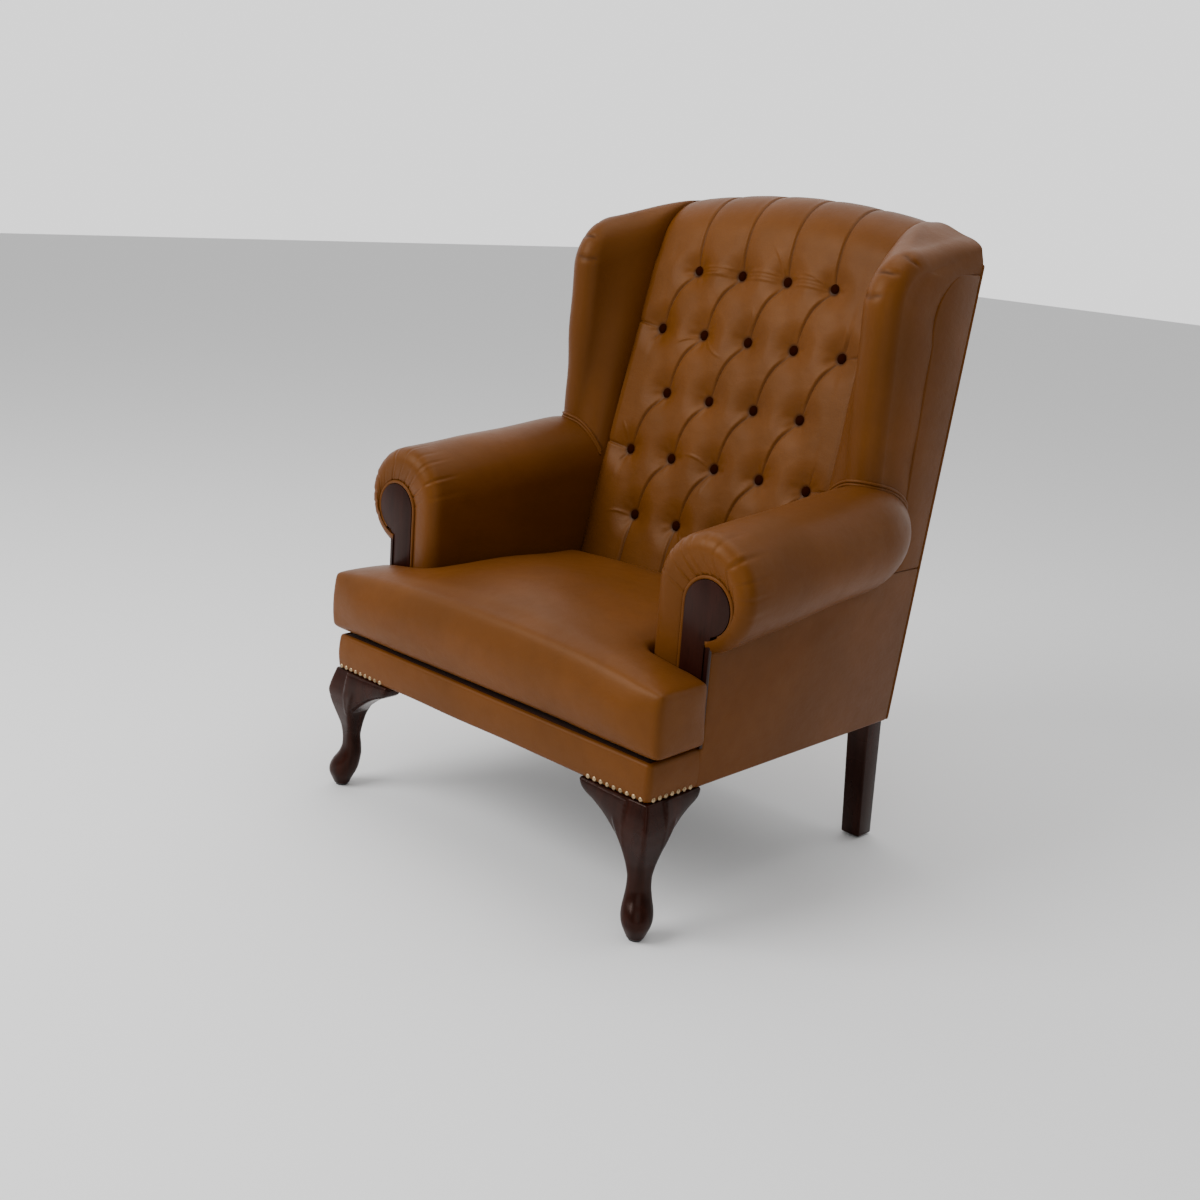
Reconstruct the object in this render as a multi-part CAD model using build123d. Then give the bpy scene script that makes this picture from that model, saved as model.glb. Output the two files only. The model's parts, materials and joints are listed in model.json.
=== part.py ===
from build123d import *
from math import acos, atan2, cos, pi, radians, sin, sqrt, tan
import os

# Driving dimensions in millimetres and degrees.
# X is the width, Y runs from the front of the band to the rear, Z is up from the floor.

# Overall form
half_width = 388.0        # centre line to the outer face of a side panel
seat_half = 268.0         # centre line to the inner face of an arm
leg_height = 228.0        # floor to the underside of the seat rails
top_height = 1122.0       # floor to the top of the back
rear_foot_y = 640.0       # outside back, at the height of the rails' underside
rear_rake = 9.2           # lean of the outside back
back_rake = 15.5          # lean of the buttoned face
cover_thick = 8.0         # leather and board of the outside panels and the band

# Clearances
soft_gap = 0.4            # between two padded pieces
fit_gap = 0.2             # between two hard pieces
crest_gap = 1.0           # between the crest rail and the padding over it

# Wooden frame
rail_thick = 28.0
rail_height = 48.0
post_thick = 44.0
crest_cover = 37.0        # padding over the crest rail
crest_drop = 70.0         # arch of the crest rail, centre to end
crest_end = 15.0          # height of the crest rail at its ends
lower_rail_lift = 70.0    # seat rails' top to the lower back rail
lower_rail_height = 45.0
tack_thick = 22.0
tack_height = 40.0
block_leg = 70.0          # short sides of a corner block
block_lift = 8.0
arm_post_width = 44.0
arm_post_depth = 40.0
arm_post_rise = 25.0      # arm post above the centre of the roll
arm_rail_width = 28.0
arm_rail_half = 28.0      # half the height of an arm rail
board_thick = 20.0        # wing board
board_inset = 8.0         # wing board to the outer face of the frame
dowel_r = 4.0
dowel_in = 26.0
dowel_edge = 12.0

# Seat deck
wire_r = 2.0
spring_count = 5
spring_pitch = 96.0
spring_step = 25.0        # spacing of the zigzag
spring_reach = 16.0       # half of a straight run
clip_half_x = 9.0
clip_half_y = 7.0
clip_over = 1.4
hessian_thick = 1.2
deck_thick = 9.0
dust_thick = 1.5

# Arms
arm_front = 112.0         # front plane of the facings
roll_over_front = 68.0    # roll past the side panel, at the front and at the rear
roll_over_rear = 60.0
roll_z = 533.0            # centre of the roll at the facing
arm_rise = 5.6            # slope of the arm
roll_full_y = 490.0       # the roll keeps its full bulge up to here
roll_end_y = 606.0        # and has died into the side here
nose_out = 2.0            # leather stands this far in front of the facing
nose_round = 24.0         # rounding of the arm's front edge
facing_thick = 18.0
facing_stem = 56.0        # width of the facing's stem
head_r = 44.5
head_z = 516.0
welt_r = 3.5
welt_back = 2.0           # welt behind the facing's front plane
screw_r = 2.0
screw_head_r = 4.0
screw_head = 3.0
screw_in = 12.0
screw_low = 60.0          # lower screw above the seat rail
screw_high = 40.0         # upper screw below the centre of the roll

# Buttoned back
button_row_y = 524.0      # lowest row of buttons
button_row_z = 503.0
top_row_drop = 152.6      # top row of buttons below the top of the back
row_count = 5
wide_row = 5              # buttons in a wide row, one fewer in a narrow row
pad_depth = 43.0          # padding behind the button plane
tuft_crown = 26.0         # fullest point of a diamond above the buttons
pleat_height = 15.0       # pleat half way between two buttons
half_crown = 22.0
seat_half_width = 11.0    # half the flat under a button
pleat_half = 4.0          # half the width of an upright pleat
channel_height = 7.0
channel_crown = 18.0
channel_start = 40.0      # above the top row
top_crown = 12.0
top_arch = 24.0           # fall of the top from the centre to the wing seam
button_r = 10.0
button_h = 6.5
button_sink = 1.5
twine_r = 0.9
knot_r = 3.5
knot_h = 4.0
strap_thick = 2.0
strap_width = 50.0

# Wings
wing_r = 36.0             # rolled front edge
wing_y = 546.0            # centre of that roll
wing_arc_y = 612.0        # centre of the curve at the wing's top
wing_arc_drop = 167.0     # and its height below the top of the back
wing_low = 640.0
wing_shoulder = 22.0      # rounding of the top's outer end
wing_lip = 2.0            # wing in front of the back's edge
seam_low_y = 600.0        # outer wing seam at its foot
seam_high_y = 632.0
seam_high_drop = 222.0    # its heights below the top of the back
seam_top_drop = 104.0
side_seam_z = 505.0       # seam between arm panel and wing panel

# Loose cushion
cushion_over = 12.0       # in front of the band
ear_over = 10.0           # past the side panels
cushion_edge = 115.0      # height of the boxing
cushion_crown = 46.0
cushion_draw = 4.0        # sides drawn in between the corners
cushion_corner = 16.0
cushion_shoulder = 16.0
cushion_wall = 5.0
cushion_gap = 2.0
cushion_back_gap = 6.0

# Legs, nails and glides
leg_top = 74.0
ear_reach = 144.0         # knee ear from the corner along the front
side_ear_reach = 124.0
ear_depth = 36.0
rear_leg_top = 44.0
rear_leg_foot = 39.0
rear_leg_kick = 14.0
bolt_r = 4.0
bolt_in = 16.0
bolt_down = 55.0
bolt_up = 60.0
nut_r = 7.5
nut_h = 6.5
bolt_tip = 2.5
glide_r = 11.0
glide_h = 3.0
nail_r = 5.2
nail_h = 3.0
nail_pitch = 15.0
nail_lift = 7.0

# Worked out from the driving dimensions
lean = radians(back_rake)
rear_lean = radians(rear_rake)
rise = tan(radians(arm_rise))
frame_half = half_width - cover_thick - fit_gap
rail_top = leg_height + rail_height
spring_z = rail_top + fit_gap + wire_r
clip_top = spring_z + wire_r + clip_over
hessian_low = clip_top + fit_gap
deck_low = hessian_low + hessian_thick
band_top = deck_low + deck_thick
front_rail_y = cover_thick + fit_gap
side_front = front_rail_y + rail_thick
back_half = seat_half - soft_gap
pitch = 2 * back_half / wide_row
post_out = pad_depth + soft_gap + strap_thick
crest_top = top_height - crest_cover
crest_low = crest_top - crest_drop - crest_end
post_inner = frame_half - post_thick
facing_back = arm_front + facing_thick
arm_post_rear = facing_back + arm_post_depth
arm_post_top = roll_z + arm_post_rise
roll_r_front = (half_width + roll_over_front - seat_half) / 2
roll_r_rear = (half_width + roll_over_rear - seat_half) / 2
facing_in = half_width - facing_stem
head_x = facing_in + head_r
row_pitch = (top_height - top_row_drop - button_row_z) / cos(lean) / (row_count - 1)
wing_arc_z = top_height - wing_arc_drop
seam_high_z = top_height - seam_high_drop
seam_top_z = top_height - seam_top_drop
facing_low = band_top + soft_gap
block_high = rail_top - nut_h - bolt_tip - fit_gap
wing_x = frame_half - wing_r
board_outer = frame_half - board_inset
board_inner = board_outer - board_thick
wing_path = wing_arc_y - wing_y
pocket_gap = 2 * welt_r + 2 * fit_gap
parts = {}


# Y of the buttoned plane at a height, moved out to the front
def face_y(z, out=0.0):
    return button_row_y + (z - button_row_z) * tan(lean) - out / cos(lean)


# Y of the outside back at a height, moved in to the front
def rear_y(z, inset=0.0):
    return rear_foot_y + (z - leg_height) * tan(rear_lean) - inset / cos(rear_lean)


def post_y(z):
    return face_y(z, -post_out)


def frame_rear_y(z):
    return rear_y(z, cover_thick + fit_gap)


# Front face of the pad's rear plane, with a margin in front of it
def pad_rear_y(z, margin=0.0):
    return face_y(z, -pad_depth + margin)


def block(x0, x1, y0, y1, z0, z1):
    return Solid.make_box(x1 - x0, y1 - y0, z1 - z0, Plane((x0, y0, z0)))


def line(start, end):
    return Edge.make_line(start, end)


def arc(start, middle, end):
    return Edge.make_three_point_arc(start, middle, end)


# An outline in the YZ plane carried along X
def prism(points, x0, x1):
    outline = Face(Wire.make_polygon([(x0, y, z) for y, z in points], close=True))
    return extrude(outline, amount=x1 - x0, dir=(1, 0, 0)).solids()[0]


# Four corners between two leaning planes
def between(z0, z1, front, rear):
    return [(front(z0), z0), (rear(z0), z0), (rear(z1), z1), (front(z1), z1)]


def rod(radius, start, end):
    direction = Vector(*end) - Vector(*start)
    return Solid.make_cylinder(radius, direction.length, Plane(start, z_dir=direction))


# A short cylinder with a round top
def dome(radius, height, plane):
    rise_of_top = height * 0.7
    ball_r = (radius ** 2 + rise_of_top ** 2) / (2 * rise_of_top)
    ball = Solid.make_sphere(ball_r, Plane((0, 0, height - ball_r)))
    return plane.location * single(Solid.make_cylinder(radius, height) & ball)


def flip(shape):
    return mirror(shape, about=Plane.YZ)


def single(shape):
    return max(shape.solids(), key=lambda solid: solid.volume)


def keep(name, shape):
    parts[name] = shape


def keep_pair(name, right):
    keep(name + "_right", right)
    keep(name + "_left", flip(right))


def keep_group(name, shapes):
    keep(name, Compound([solid for shape in shapes for solid in shape.solids()]))


# Wooden frame
def dowel_lines():
    rows = []
    for z in (leg_height + dowel_edge, rail_top - dowel_edge):
        x = frame_half - rail_thick / 2
        rows.append(((x, side_front - dowel_in / 2, z), (x, side_front + dowel_in, z)))
        rows.append(((x, post_y(z) - dowel_in, z), (x, post_y(z) + dowel_in, z)))
    return rows


def dowel_holes():
    holes = [rod(dowel_r + fit_gap / 2, start, end) for start, end in dowel_lines()]
    return holes + [flip(hole).solids()[0] for hole in holes]


def rear_leg_centre():
    return frame_half - post_thick / 2, frame_rear_y(leg_height) - rear_leg_top / 2


def screw_lines():
    x = frame_half - arm_post_width / 2
    heights = (rail_top + screw_low, roll_z - screw_high)
    return [((x, facing_back - screw_in, z), (x, arm_post_rear - fit_gap, z)) for z in heights]


# Y where a line at the arm's slope meets the front of the back post
def arm_meets_post(z_at_front):
    base = face_y(0, -post_out)
    return (base + tan(lean) * (z_at_front - arm_front * rise)) / (1 - tan(lean) * rise)


def arm_line(y, lift):
    return roll_z + (y - arm_front) * rise + lift


def arm_rail(gap):
    low, high = -arm_rail_half - gap, arm_rail_half + gap
    start = arm_post_rear - gap
    low_end, high_end = arm_meets_post(roll_z + low), arm_meets_post(roll_z + high)
    outline = [(start, arm_line(start, low)), (low_end, arm_line(low_end, low)),
               (high_end, arm_line(high_end, high)), (start, arm_line(start, high))]
    return prism(outline, frame_half - arm_rail_width - gap, frame_half + gap)


def arm_post(gap):
    return block(frame_half - arm_post_width - gap, frame_half + gap, facing_back - gap, arm_post_rear + gap,
                 rail_top, arm_post_top + gap)


# Wing board: upright front edge, round top corner, sloping top back to the post
def wing_board(gap):
    high_end = arm_meets_post(roll_z + arm_rail_half)
    foot = arm_line(high_end, arm_rail_half) - gap
    front = wing_y - gap
    radius = wing_path + gap
    crown = wing_arc_z + radius
    rear_top = crown + wing_path * 0.15
    x0 = board_inner - gap
    corner = (x0, wing_arc_y - radius * cos(pi / 4), wing_arc_z + radius * sin(pi / 4))
    edges = [line((x0, front, foot), (x0, front, wing_arc_z)),
             arc((x0, front, wing_arc_z), corner, (x0, wing_arc_y, crown)),
             line((x0, wing_arc_y, crown), (x0, post_y(rear_top), rear_top)),
             line((x0, post_y(rear_top), rear_top), (x0, post_y(foot), foot)),
             line((x0, post_y(foot), foot), (x0, front, foot))]
    return extrude(Face(Wire(edges)), amount=board_thick + 2 * gap, dir=(1, 0, 0)).solids()[0]


def make_frame():
    holes = dowel_holes()
    front_rail = block(-frame_half, frame_half, front_rail_y, side_front, leg_height, rail_top)
    keep("front_seat_rail", front_rail.cut(*holes))
    side_outline = [(side_front, leg_height), (post_y(leg_height), leg_height), (post_y(rail_top), rail_top),
                    (side_front, rail_top)]
    keep_pair("side_seat_rail", prism(side_outline, frame_half - rail_thick, frame_half).cut(*holes))
    cross = lambda outline: prism(outline, -post_inner, post_inner)
    rail_rear = lambda z: post_y(z) + rail_thick
    keep("rear_seat_rail", cross(between(leg_height, rail_top, post_y, rail_rear)))
    low = rail_top + lower_rail_lift
    keep("lower_back_rail", cross(between(low, low + lower_rail_height, post_y, rail_rear)))
    tack_front = lambda z: frame_rear_y(z) - tack_thick
    keep("back_tack_rail", cross(between(leg_height, leg_height + tack_height, tack_front, frame_rear_y)))
    leg_x, leg_y = rear_leg_centre()
    bolt_hole = rod(bolt_r + fit_gap, (leg_x, leg_y, leg_height), (leg_x, leg_y, leg_height + bolt_up))
    post = prism(between(leg_height, crest_low, post_y, frame_rear_y), post_inner, frame_half)
    keep_pair("back_post", post.cut(bolt_hole, *holes))
    far = rear_y(top_height)
    ends = crest_top - crest_drop
    edges = [line((-frame_half, 0, crest_low), (frame_half, 0, crest_low)),
             line((frame_half, 0, crest_low), (frame_half, 0, ends)),
             arc((frame_half, 0, ends), (0, 0, crest_top), (-frame_half, 0, ends)),
             line((-frame_half, 0, ends), (-frame_half, 0, crest_low))]
    arch = extrude(Face(Wire(edges)), amount=far, dir=(0, 1, 0)).solids()[0]
    keep("crest_rail", single(arch & prism(between(crest_low, crest_top, post_y, frame_rear_y), -frame_half,
                                           frame_half)))
    screws = []
    for start, end in screw_lines():
        screws.append(rod(screw_r + fit_gap, start, (end[0], end[1] + 1, end[2])))
        screws.append(rod(screw_head_r + fit_gap, (end[0], end[1] - screw_head - fit_gap, end[2]),
                          (end[0], end[1] + 1, end[2])))
    keep_pair("arm_post", single(arm_post(0).cut(*screws)))
    keep_pair("arm_rail", arm_rail(0))
    keep_pair("wing_board", wing_board(0))
    dowels = [rod(dowel_r, start, end) for start, end in dowel_lines()]
    keep_group("frame_dowels", dowels + [flip(dowel) for dowel in dowels])
    make_blocks()


def triangle_block(corner_x, corner_y, along_y):
    low = leg_height + block_lift
    points = [(corner_x, corner_y, low), (corner_x - block_leg, corner_y, low),
              (corner_x, corner_y + along_y * block_leg, low)]
    return extrude(Face(Wire.make_polygon(points, close=True)), amount=block_high - low, dir=(0, 0, 1)).solids()[0]


def make_blocks():
    corner_x = frame_half - rail_thick
    front = triangle_block(corner_x, side_front, 1)
    x, y = corner_x - bolt_in, side_front + bolt_in
    front = front.cut(rod(bolt_r + fit_gap, (x, y, leg_height), (x, y, rail_top)))
    rear = triangle_block(corner_x, post_y(leg_height + block_lift), -1)
    keep_group("front_corner_blocks", [front, flip(front)])
    keep_group("rear_corner_blocks", [rear, flip(rear)])


# Seat deck: zigzag springs in clips, hessian, thin pad
def zigzag(x, y0, turns):
    edges = []
    bend = spring_step / 2
    for turn in range(turns + 1):
        y = y0 + turn * spring_step
        side = 1 if turn % 2 == 0 else -1
        near = (x - side * spring_reach, y, spring_z)
        far = (x + side * spring_reach, y, spring_z)
        edges.append(line(near, far))
        if turn < turns:
            top = (far[0] + side * bend, y + bend, spring_z)
            edges.append(arc(far, top, (far[0], y + spring_step, spring_z)))
    path = Wire(edges)
    section = Face(Wire.make_circle(wire_r, Plane(path @ 0, z_dir=path % 0)))
    return Solid.sweep(section, path)


def tee(rear_y_value, low, thick):
    front_part = block(-frame_half, frame_half, front_rail_y, arm_front - nose_out - soft_gap, low, low + thick)
    stem = block(-back_half, back_half, front_rail_y, rear_y_value, low, low + thick)
    return single(front_part + stem)


def make_deck():
    first = front_rail_y + rail_thick / 2
    last = post_y(rail_top) + rail_thick / 2
    turns = int((last - first) / spring_step)
    start = (first + last - turns * spring_step) / 2
    springs = []
    clips = []
    for place in range(spring_count):
        x = (place - (spring_count - 1) / 2) * spring_pitch
        springs.append(zigzag(x, start, turns))
        for y in (start, start + turns * spring_step):
            clip = block(x - clip_half_x, x + clip_half_x, y - clip_half_y, y + clip_half_y, rail_top, clip_top)
            room = wire_r + fit_gap
            groove = rod(room, (x - spring_reach, y, spring_z), (x + spring_reach, y, spring_z))
            mouth = block(x - spring_reach, x + spring_reach, y - room, y + room, rail_top - 1, spring_z)
            clips.append(single(clip.cut(groove, mouth)))
    keep_group("seat_springs", springs)
    keep_group("spring_clips", clips)
    rear = pad_rear_y(hessian_low)
    keep("seat_hessian", tee(rear, hessian_low, hessian_thick))
    keep("deck_pad", tee(rear, deck_low, deck_thick))
    low = leg_height - dust_thick
    leg_x, leg_y = rear_leg_centre()
    middle_x, middle_y = frame_half - rail_thick / 2, front_rail_y + rail_thick / 2
    cloth = block(-middle_x, middle_x, middle_y, frame_rear_y(leg_height) - tack_thick / 2, low, leg_height)
    corners = []
    for side in (-1, 1):
        inner = half_width - ear_reach - fit_gap
        corners.append(block(min(side * inner, side * half_width), max(side * inner, side * half_width), 0,
                             side_ear_reach + fit_gap, low - 1, leg_height))
        inner = leg_x - rear_leg_top / 2 - fit_gap
        corners.append(block(min(side * inner, side * half_width), max(side * inner, side * half_width),
                             leg_y - rear_leg_top / 2 - fit_gap, rear_y(leg_height), low - 1, leg_height))
    keep("dust_cover", single(cloth.cut(*corners)))


# Buttoned back: one ruled form through scalloped sections.
# crowns holds the height between two centres, then the height on a centre.
def scallop(base, normal, depth, narrow, share, valley, crowns, edge_crown, slide=(0, 0), stretch=1.0):
    def point(u, height):
        lift = height * stretch
        side = (u / back_half) ** 2
        return (u, base[0] + normal[0] * lift + slide[0] * side, base[1] + normal[1] * lift + slide[1] * side)

    half = (pitch / 2 - narrow) * (1 - share) + narrow * share
    centres = [(k - (wide_row - 1) / 2) * pitch for k in range(wide_row)]
    stops = [-back_half]
    for centre in centres:
        stops += [centre - half, centre + half]
    stops.append(back_half)
    last = len(stops) - 1
    edges = []
    for k in range(last):
        left, right = stops[k], stops[k + 1]
        edge = k in (0, last - 1)
        crown = edge_crown if edge else crowns[k % 2]
        start = point(left, 0 if k == 0 else valley)
        end = point(right, 0 if k == last - 1 else valley)
        edges.append(arc(start, point((left + right) / 2, crown), end))
    right_low, left_low = point(back_half, -depth), point(-back_half, -depth)
    edges.append(line(point(back_half, 0), right_low))
    if slide[1] < 0:
        edges.append(arc(right_low, point(0, -depth), left_low))
    else:
        edges.append(line(right_low, left_low))
    edges.append(line(left_low, point(-back_half, 0)))
    return Wire(edges)


# The top is a quarter round that fills the depth between the buttoned plane and the outside back
def top_round():
    reach = rear_foot_y + (top_height - leg_height) * tan(rear_lean) + top_crown / cos(lean)
    reach -= button_row_y + (top_height - button_row_z) * tan(lean)
    return reach / (1 / cos(lean) - tan(lean) + tan(rear_lean))


def top_centre():
    z = top_height - top_round()
    return rear_y(z), z


def button_places():
    places = []
    for row in range(row_count):
        count = wide_row - 1 if row % 2 == 0 else wide_row
        for k in range(count):
            places.append(((k - (count - 1) / 2) * pitch, row * row_pitch))
    return places


def on_face(u, v, out):
    return (u, button_row_y + v * sin(lean) - out * cos(lean), button_row_z + v * cos(lean) + out * sin(lean))


def make_back():
    normal = (-cos(lean), sin(lean))
    dish = -0.8
    edge_rise = channel_height * 0.55
    low = band_top + soft_gap
    foot_crowns = (channel_height - 1, half_crown)
    wires = [scallop((face_y(low), low), (-1, 0), pad_depth, pleat_half, 0, channel_height, foot_crowns,
                     edge_rise, stretch=1 / cos(lean))]
    for row in range(row_count):
        base = on_face(0, row * row_pitch, 0)[1:]
        wide = row % 2
        crowns = (tuft_crown, dish) if wide else (dish, tuft_crown)
        wires.append(scallop(base, normal, pad_depth, seat_half_width, wide, 0, crowns, tuft_crown / 2 if wide else 1))
        if row < row_count - 1:
            base = on_face(0, (row + 0.5) * row_pitch, 0)[1:]
            wires.append(scallop(base, normal, pad_depth, seat_half_width, 0.5, pleat_height,
                                 (half_crown, half_crown), pleat_height * 0.75))
    base = on_face(0, (row_count - 1) * row_pitch + channel_start, 0)[1:]
    wires.append(scallop(base, normal, pad_depth, pleat_half, 0, channel_height,
                         (channel_height - 1, channel_crown), edge_rise))
    centre = top_centre()
    fall = top_arch / cos(lean)
    radius = top_round() - top_crown
    crest = crest_top + crest_gap
    turn = atan2(crest - centre[1], centre[0] - pad_rear_y(crest))
    last = pi / 2 + rear_lean
    half_steps = 3
    angles = [lean + (turn - lean) * step / half_steps for step in range(half_steps)]
    angles += [turn + (last - turn) * step / half_steps for step in range(half_steps + 1)]
    for angle in angles:
        out = (-cos(angle), sin(angle))
        over_post = (radius - pad_depth) / cos(angle - lean)
        over_crest = (crest - centre[1]) / sin(angle)
        base = (centre[0] + radius * out[0], centre[1] + radius * out[1])
        way = rear_lean if angle == last else lean
        slide = (-fall * sin(way), -fall * cos(way))
        wires.append(scallop(base, out, radius - min(over_post, over_crest), pleat_half, 0, channel_height,
                             (channel_height - 1, top_crown), edge_rise, slide=slide))
    pad = Solid.make_loft(wires, True)
    face_out = (0, -cos(lean), sin(lean))
    wells = []
    buttons = []
    twines = []
    for u, v in button_places():
        floor = on_face(u, v, -button_sink)
        wells.append(rod(button_r + fit_gap, floor, on_face(u, v, 2 * tuft_crown)))
        wells.append(rod(twine_r + fit_gap, on_face(u, v, -pad_depth - 1), on_face(u, v, 0)))
        buttons.append(dome(button_r, button_h, Plane(on_face(u, v, fit_gap - button_sink), z_dir=face_out)))
        tail = -pad_depth - soft_gap
        twine = rod(twine_r, on_face(u, v, tail - knot_h), on_face(u, v, -button_sink))
        twines.append(twine + rod(knot_r, on_face(u, v, tail - knot_h), on_face(u, v, tail)))
    keep("back_pad", single(pad.cut(*wells)))
    keep_group("back_buttons", buttons)
    keep_group("button_twines", twines)
    straps = []
    reach = board_inner - soft_gap
    near, far = -pad_depth - soft_gap, -post_out
    for row in range(row_count):
        v = (row - 0.5) * row_pitch
        corners = [on_face(0, v - strap_width / 2, near)[1:], on_face(0, v - strap_width / 2, far)[1:],
                   on_face(0, v + strap_width / 2, far)[1:], on_face(0, v + strap_width / 2, near)[1:]]
        straps.append(prism(corners, -reach, reach))
    keep_group("back_webbing", straps)


# Arms: a slab with a roll, rounded at the front and dying into the side at the rear
def arm_wire(y, gap, inset, bulge):
    along = (y - arm_front) / (roll_end_y - arm_front)
    full = roll_r_front + (roll_r_rear - roll_r_front) * along
    radius = full + gap - inset
    centre_x, centre_z = seat_half + full, arm_line(y, 0)
    inner, outer = centre_x - radius, frame_half + gap - inset
    low = rail_top + soft_gap - gap

    def on_roll(angle):
        x = centre_x + radius * cos(angle)
        return (outer + (x - outer) * bulge if x > outer else x, y, centre_z + radius * sin(angle))

    crease = -acos((outer - centre_x) / radius)
    edges = [line((inner, y, low), (inner, y, centre_z)),
             arc((inner, y, centre_z), on_roll(pi * 0.75), on_roll(pi / 2)),
             arc(on_roll(pi / 2), on_roll(pi / 4), on_roll(0)),
             arc(on_roll(0), on_roll(crease / 2), on_roll(crease)),
             line(on_roll(crease), (outer, y, low)),
             line((outer, y, low), (inner, y, low))]
    return Wire(edges)


def arm_form(gap):
    wires = []
    for share in (0.0, 0.35, 0.7, 1.0):
        inset = nose_round * (1 - sin(share * pi / 2))
        y = arm_front - nose_out + nose_round * (1 - cos(share * pi / 2))
        wires.append(arm_wire(y - gap, gap, inset, 1.0))
    for share in (0.0, 0.4, 0.7, 0.9, 1.0):
        y = roll_full_y + (roll_end_y + gap - roll_full_y) * share
        wires.append(arm_wire(y, gap, 0, max(sqrt(1 - share ** 2), 0.06)))
    return Solid.make_loft(wires, True)


# Keyhole outline of the facing in the XZ plane
def facing_wire(y, gap):
    inner, outer = facing_in - gap, half_width + gap
    radius = head_r + gap
    low = facing_low - gap
    crease = -acos((outer - head_x) / radius)

    def on_head(angle):
        return (head_x + radius * cos(angle), y, head_z + radius * sin(angle))

    edges = [line((inner, y, low), (inner, y, head_z)),
             arc((inner, y, head_z), on_head(pi * 0.75), on_head(pi / 2)),
             arc(on_head(pi / 2), on_head(pi / 4), on_head(0)),
             arc(on_head(0), on_head(crease / 2), on_head(crease)),
             line(on_head(crease), (outer, y, low)),
             line((outer, y, low), (inner, y, low))]
    return Wire(edges)


def make_arms():
    start = arm_front - nose_out - 1
    pocket = extrude(Face(facing_wire(start, pocket_gap)), amount=facing_back + fit_gap - start, dir=(0, 1, 0))
    behind = lambda z: pad_rear_y(z, soft_gap)
    zone = prism(between(leg_height, top_height, behind, lambda z: roll_end_y + z), 0, frame_half + fit_gap)
    tools = [pocket.solids()[0], arm_post(fit_gap), arm_rail(fit_gap), wing_board(fit_gap), zone]
    keep_pair("arm_pad", single(arm_form(0).cut(*tools)))
    facing = extrude(Face(facing_wire(arm_front, 0)), amount=facing_thick, dir=(0, 1, 0)).solids()[0]
    holes = [rod(screw_r + fit_gap, start, (end[0], facing_back, end[2])) for start, end in screw_lines()]
    keep_pair("arm_facing", facing.cut(*holes))
    screws = []
    for start, end in screw_lines():
        head = (end[0], end[1] - screw_head, end[2])
        screws.append(rod(screw_r, start, end) + rod(screw_head_r, head, end))
    keep_group("facing_screws", screws + [flip(screw) for screw in screws])
    y = arm_front + welt_back + welt_r
    off = welt_r + fit_gap
    radius = head_r + off

    def on_welt(angle):
        return (head_x + radius * cos(angle), y, head_z + radius * sin(angle))

    tail = -radians(62)
    low = (facing_in - off, y, facing_low + welt_r)
    path = Wire([line(low, (facing_in - off, y, head_z)),
                 arc((facing_in - off, y, head_z), on_welt(pi * 0.75), on_welt(pi / 2)),
                 arc(on_welt(pi / 2), on_welt(pi / 4), on_welt(0)),
                 arc(on_welt(0), on_welt(tail / 2), on_welt(tail))])
    keep_pair("facing_welt", Solid.sweep(Face(Wire.make_circle(welt_r, Plane(low, z_dir=(0, 0, 1)))), path))


# Wings: side outlines set across the width, with a rolled front edge
def wing_wire(x, front_line, corner, top_z):
    drop = top_arch * (x / back_half) ** 2
    seat_z = crest_top - drop + crest_gap
    crest_z = crest_top - crest_drop * (x / frame_half) ** 2 + crest_gap
    inset = cover_thick + fit_gap
    points = [(front_line(wing_low), wing_low), corner[0], corner[1], corner[2], (rear_y(top_z), top_z),
              (rear_y(seat_z), seat_z), (rear_y(seat_z, inset), seat_z), (rear_y(crest_z, inset), crest_z),
              (pad_rear_y(crest_z), crest_z), (pad_rear_y(wing_low), wing_low)]
    spots = [(x, y, z) for y, z in points]
    edges = [line(spots[0], spots[1]), arc(spots[1], spots[2], spots[3])]
    for start, end in zip(spots[3:], spots[4:] + spots[:1]):
        edges.append(line(start, end))
    return Wire(edges)


def wing_form():
    x = seat_half + soft_gap
    drop = top_arch * (x / back_half) ** 2
    slide = drop / cos(lean)
    centre = (top_centre()[0] - slide * sin(lean), top_centre()[1] - slide * cos(lean))
    radius = top_round() - top_crown + wing_lip
    turn = lambda angle: (centre[0] - radius * cos(angle), centre[1] + radius * sin(angle))
    corner = [turn(lean), turn((lean + pi / 2) / 2), turn(pi / 2)]
    top = centre[1] + radius * cos(rear_lean)
    wires = [wing_wire(x, lambda z: face_y(z, wing_lip), corner, top)]
    steps = 6
    for step in range(steps + 1):
        angle = pi * (1 - step / steps)
        x = wing_x + wing_r * cos(angle)
        front = wing_y - wing_r * sin(angle)
        radius = wing_path + wing_r * sin(angle)
        diagonal = radius * cos(pi / 4)
        corner = [(front, wing_arc_z), (wing_arc_y - diagonal, wing_arc_z + diagonal),
                  (wing_arc_y, wing_arc_z + radius)]
        shoulder = wing_shoulder * (1 - sin(angle)) if angle < pi / 2 else 0.0
        top = top_height - top_arch * (x / back_half) ** 2 - shoulder
        wires.append(wing_wire(x, lambda z, front=front: front, corner, top))
    return Solid.make_loft(wires, True)


def make_wings():
    keep_pair("wing_pad", single(wing_form().cut(wing_board(fit_gap), arm_form(soft_gap))))


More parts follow.
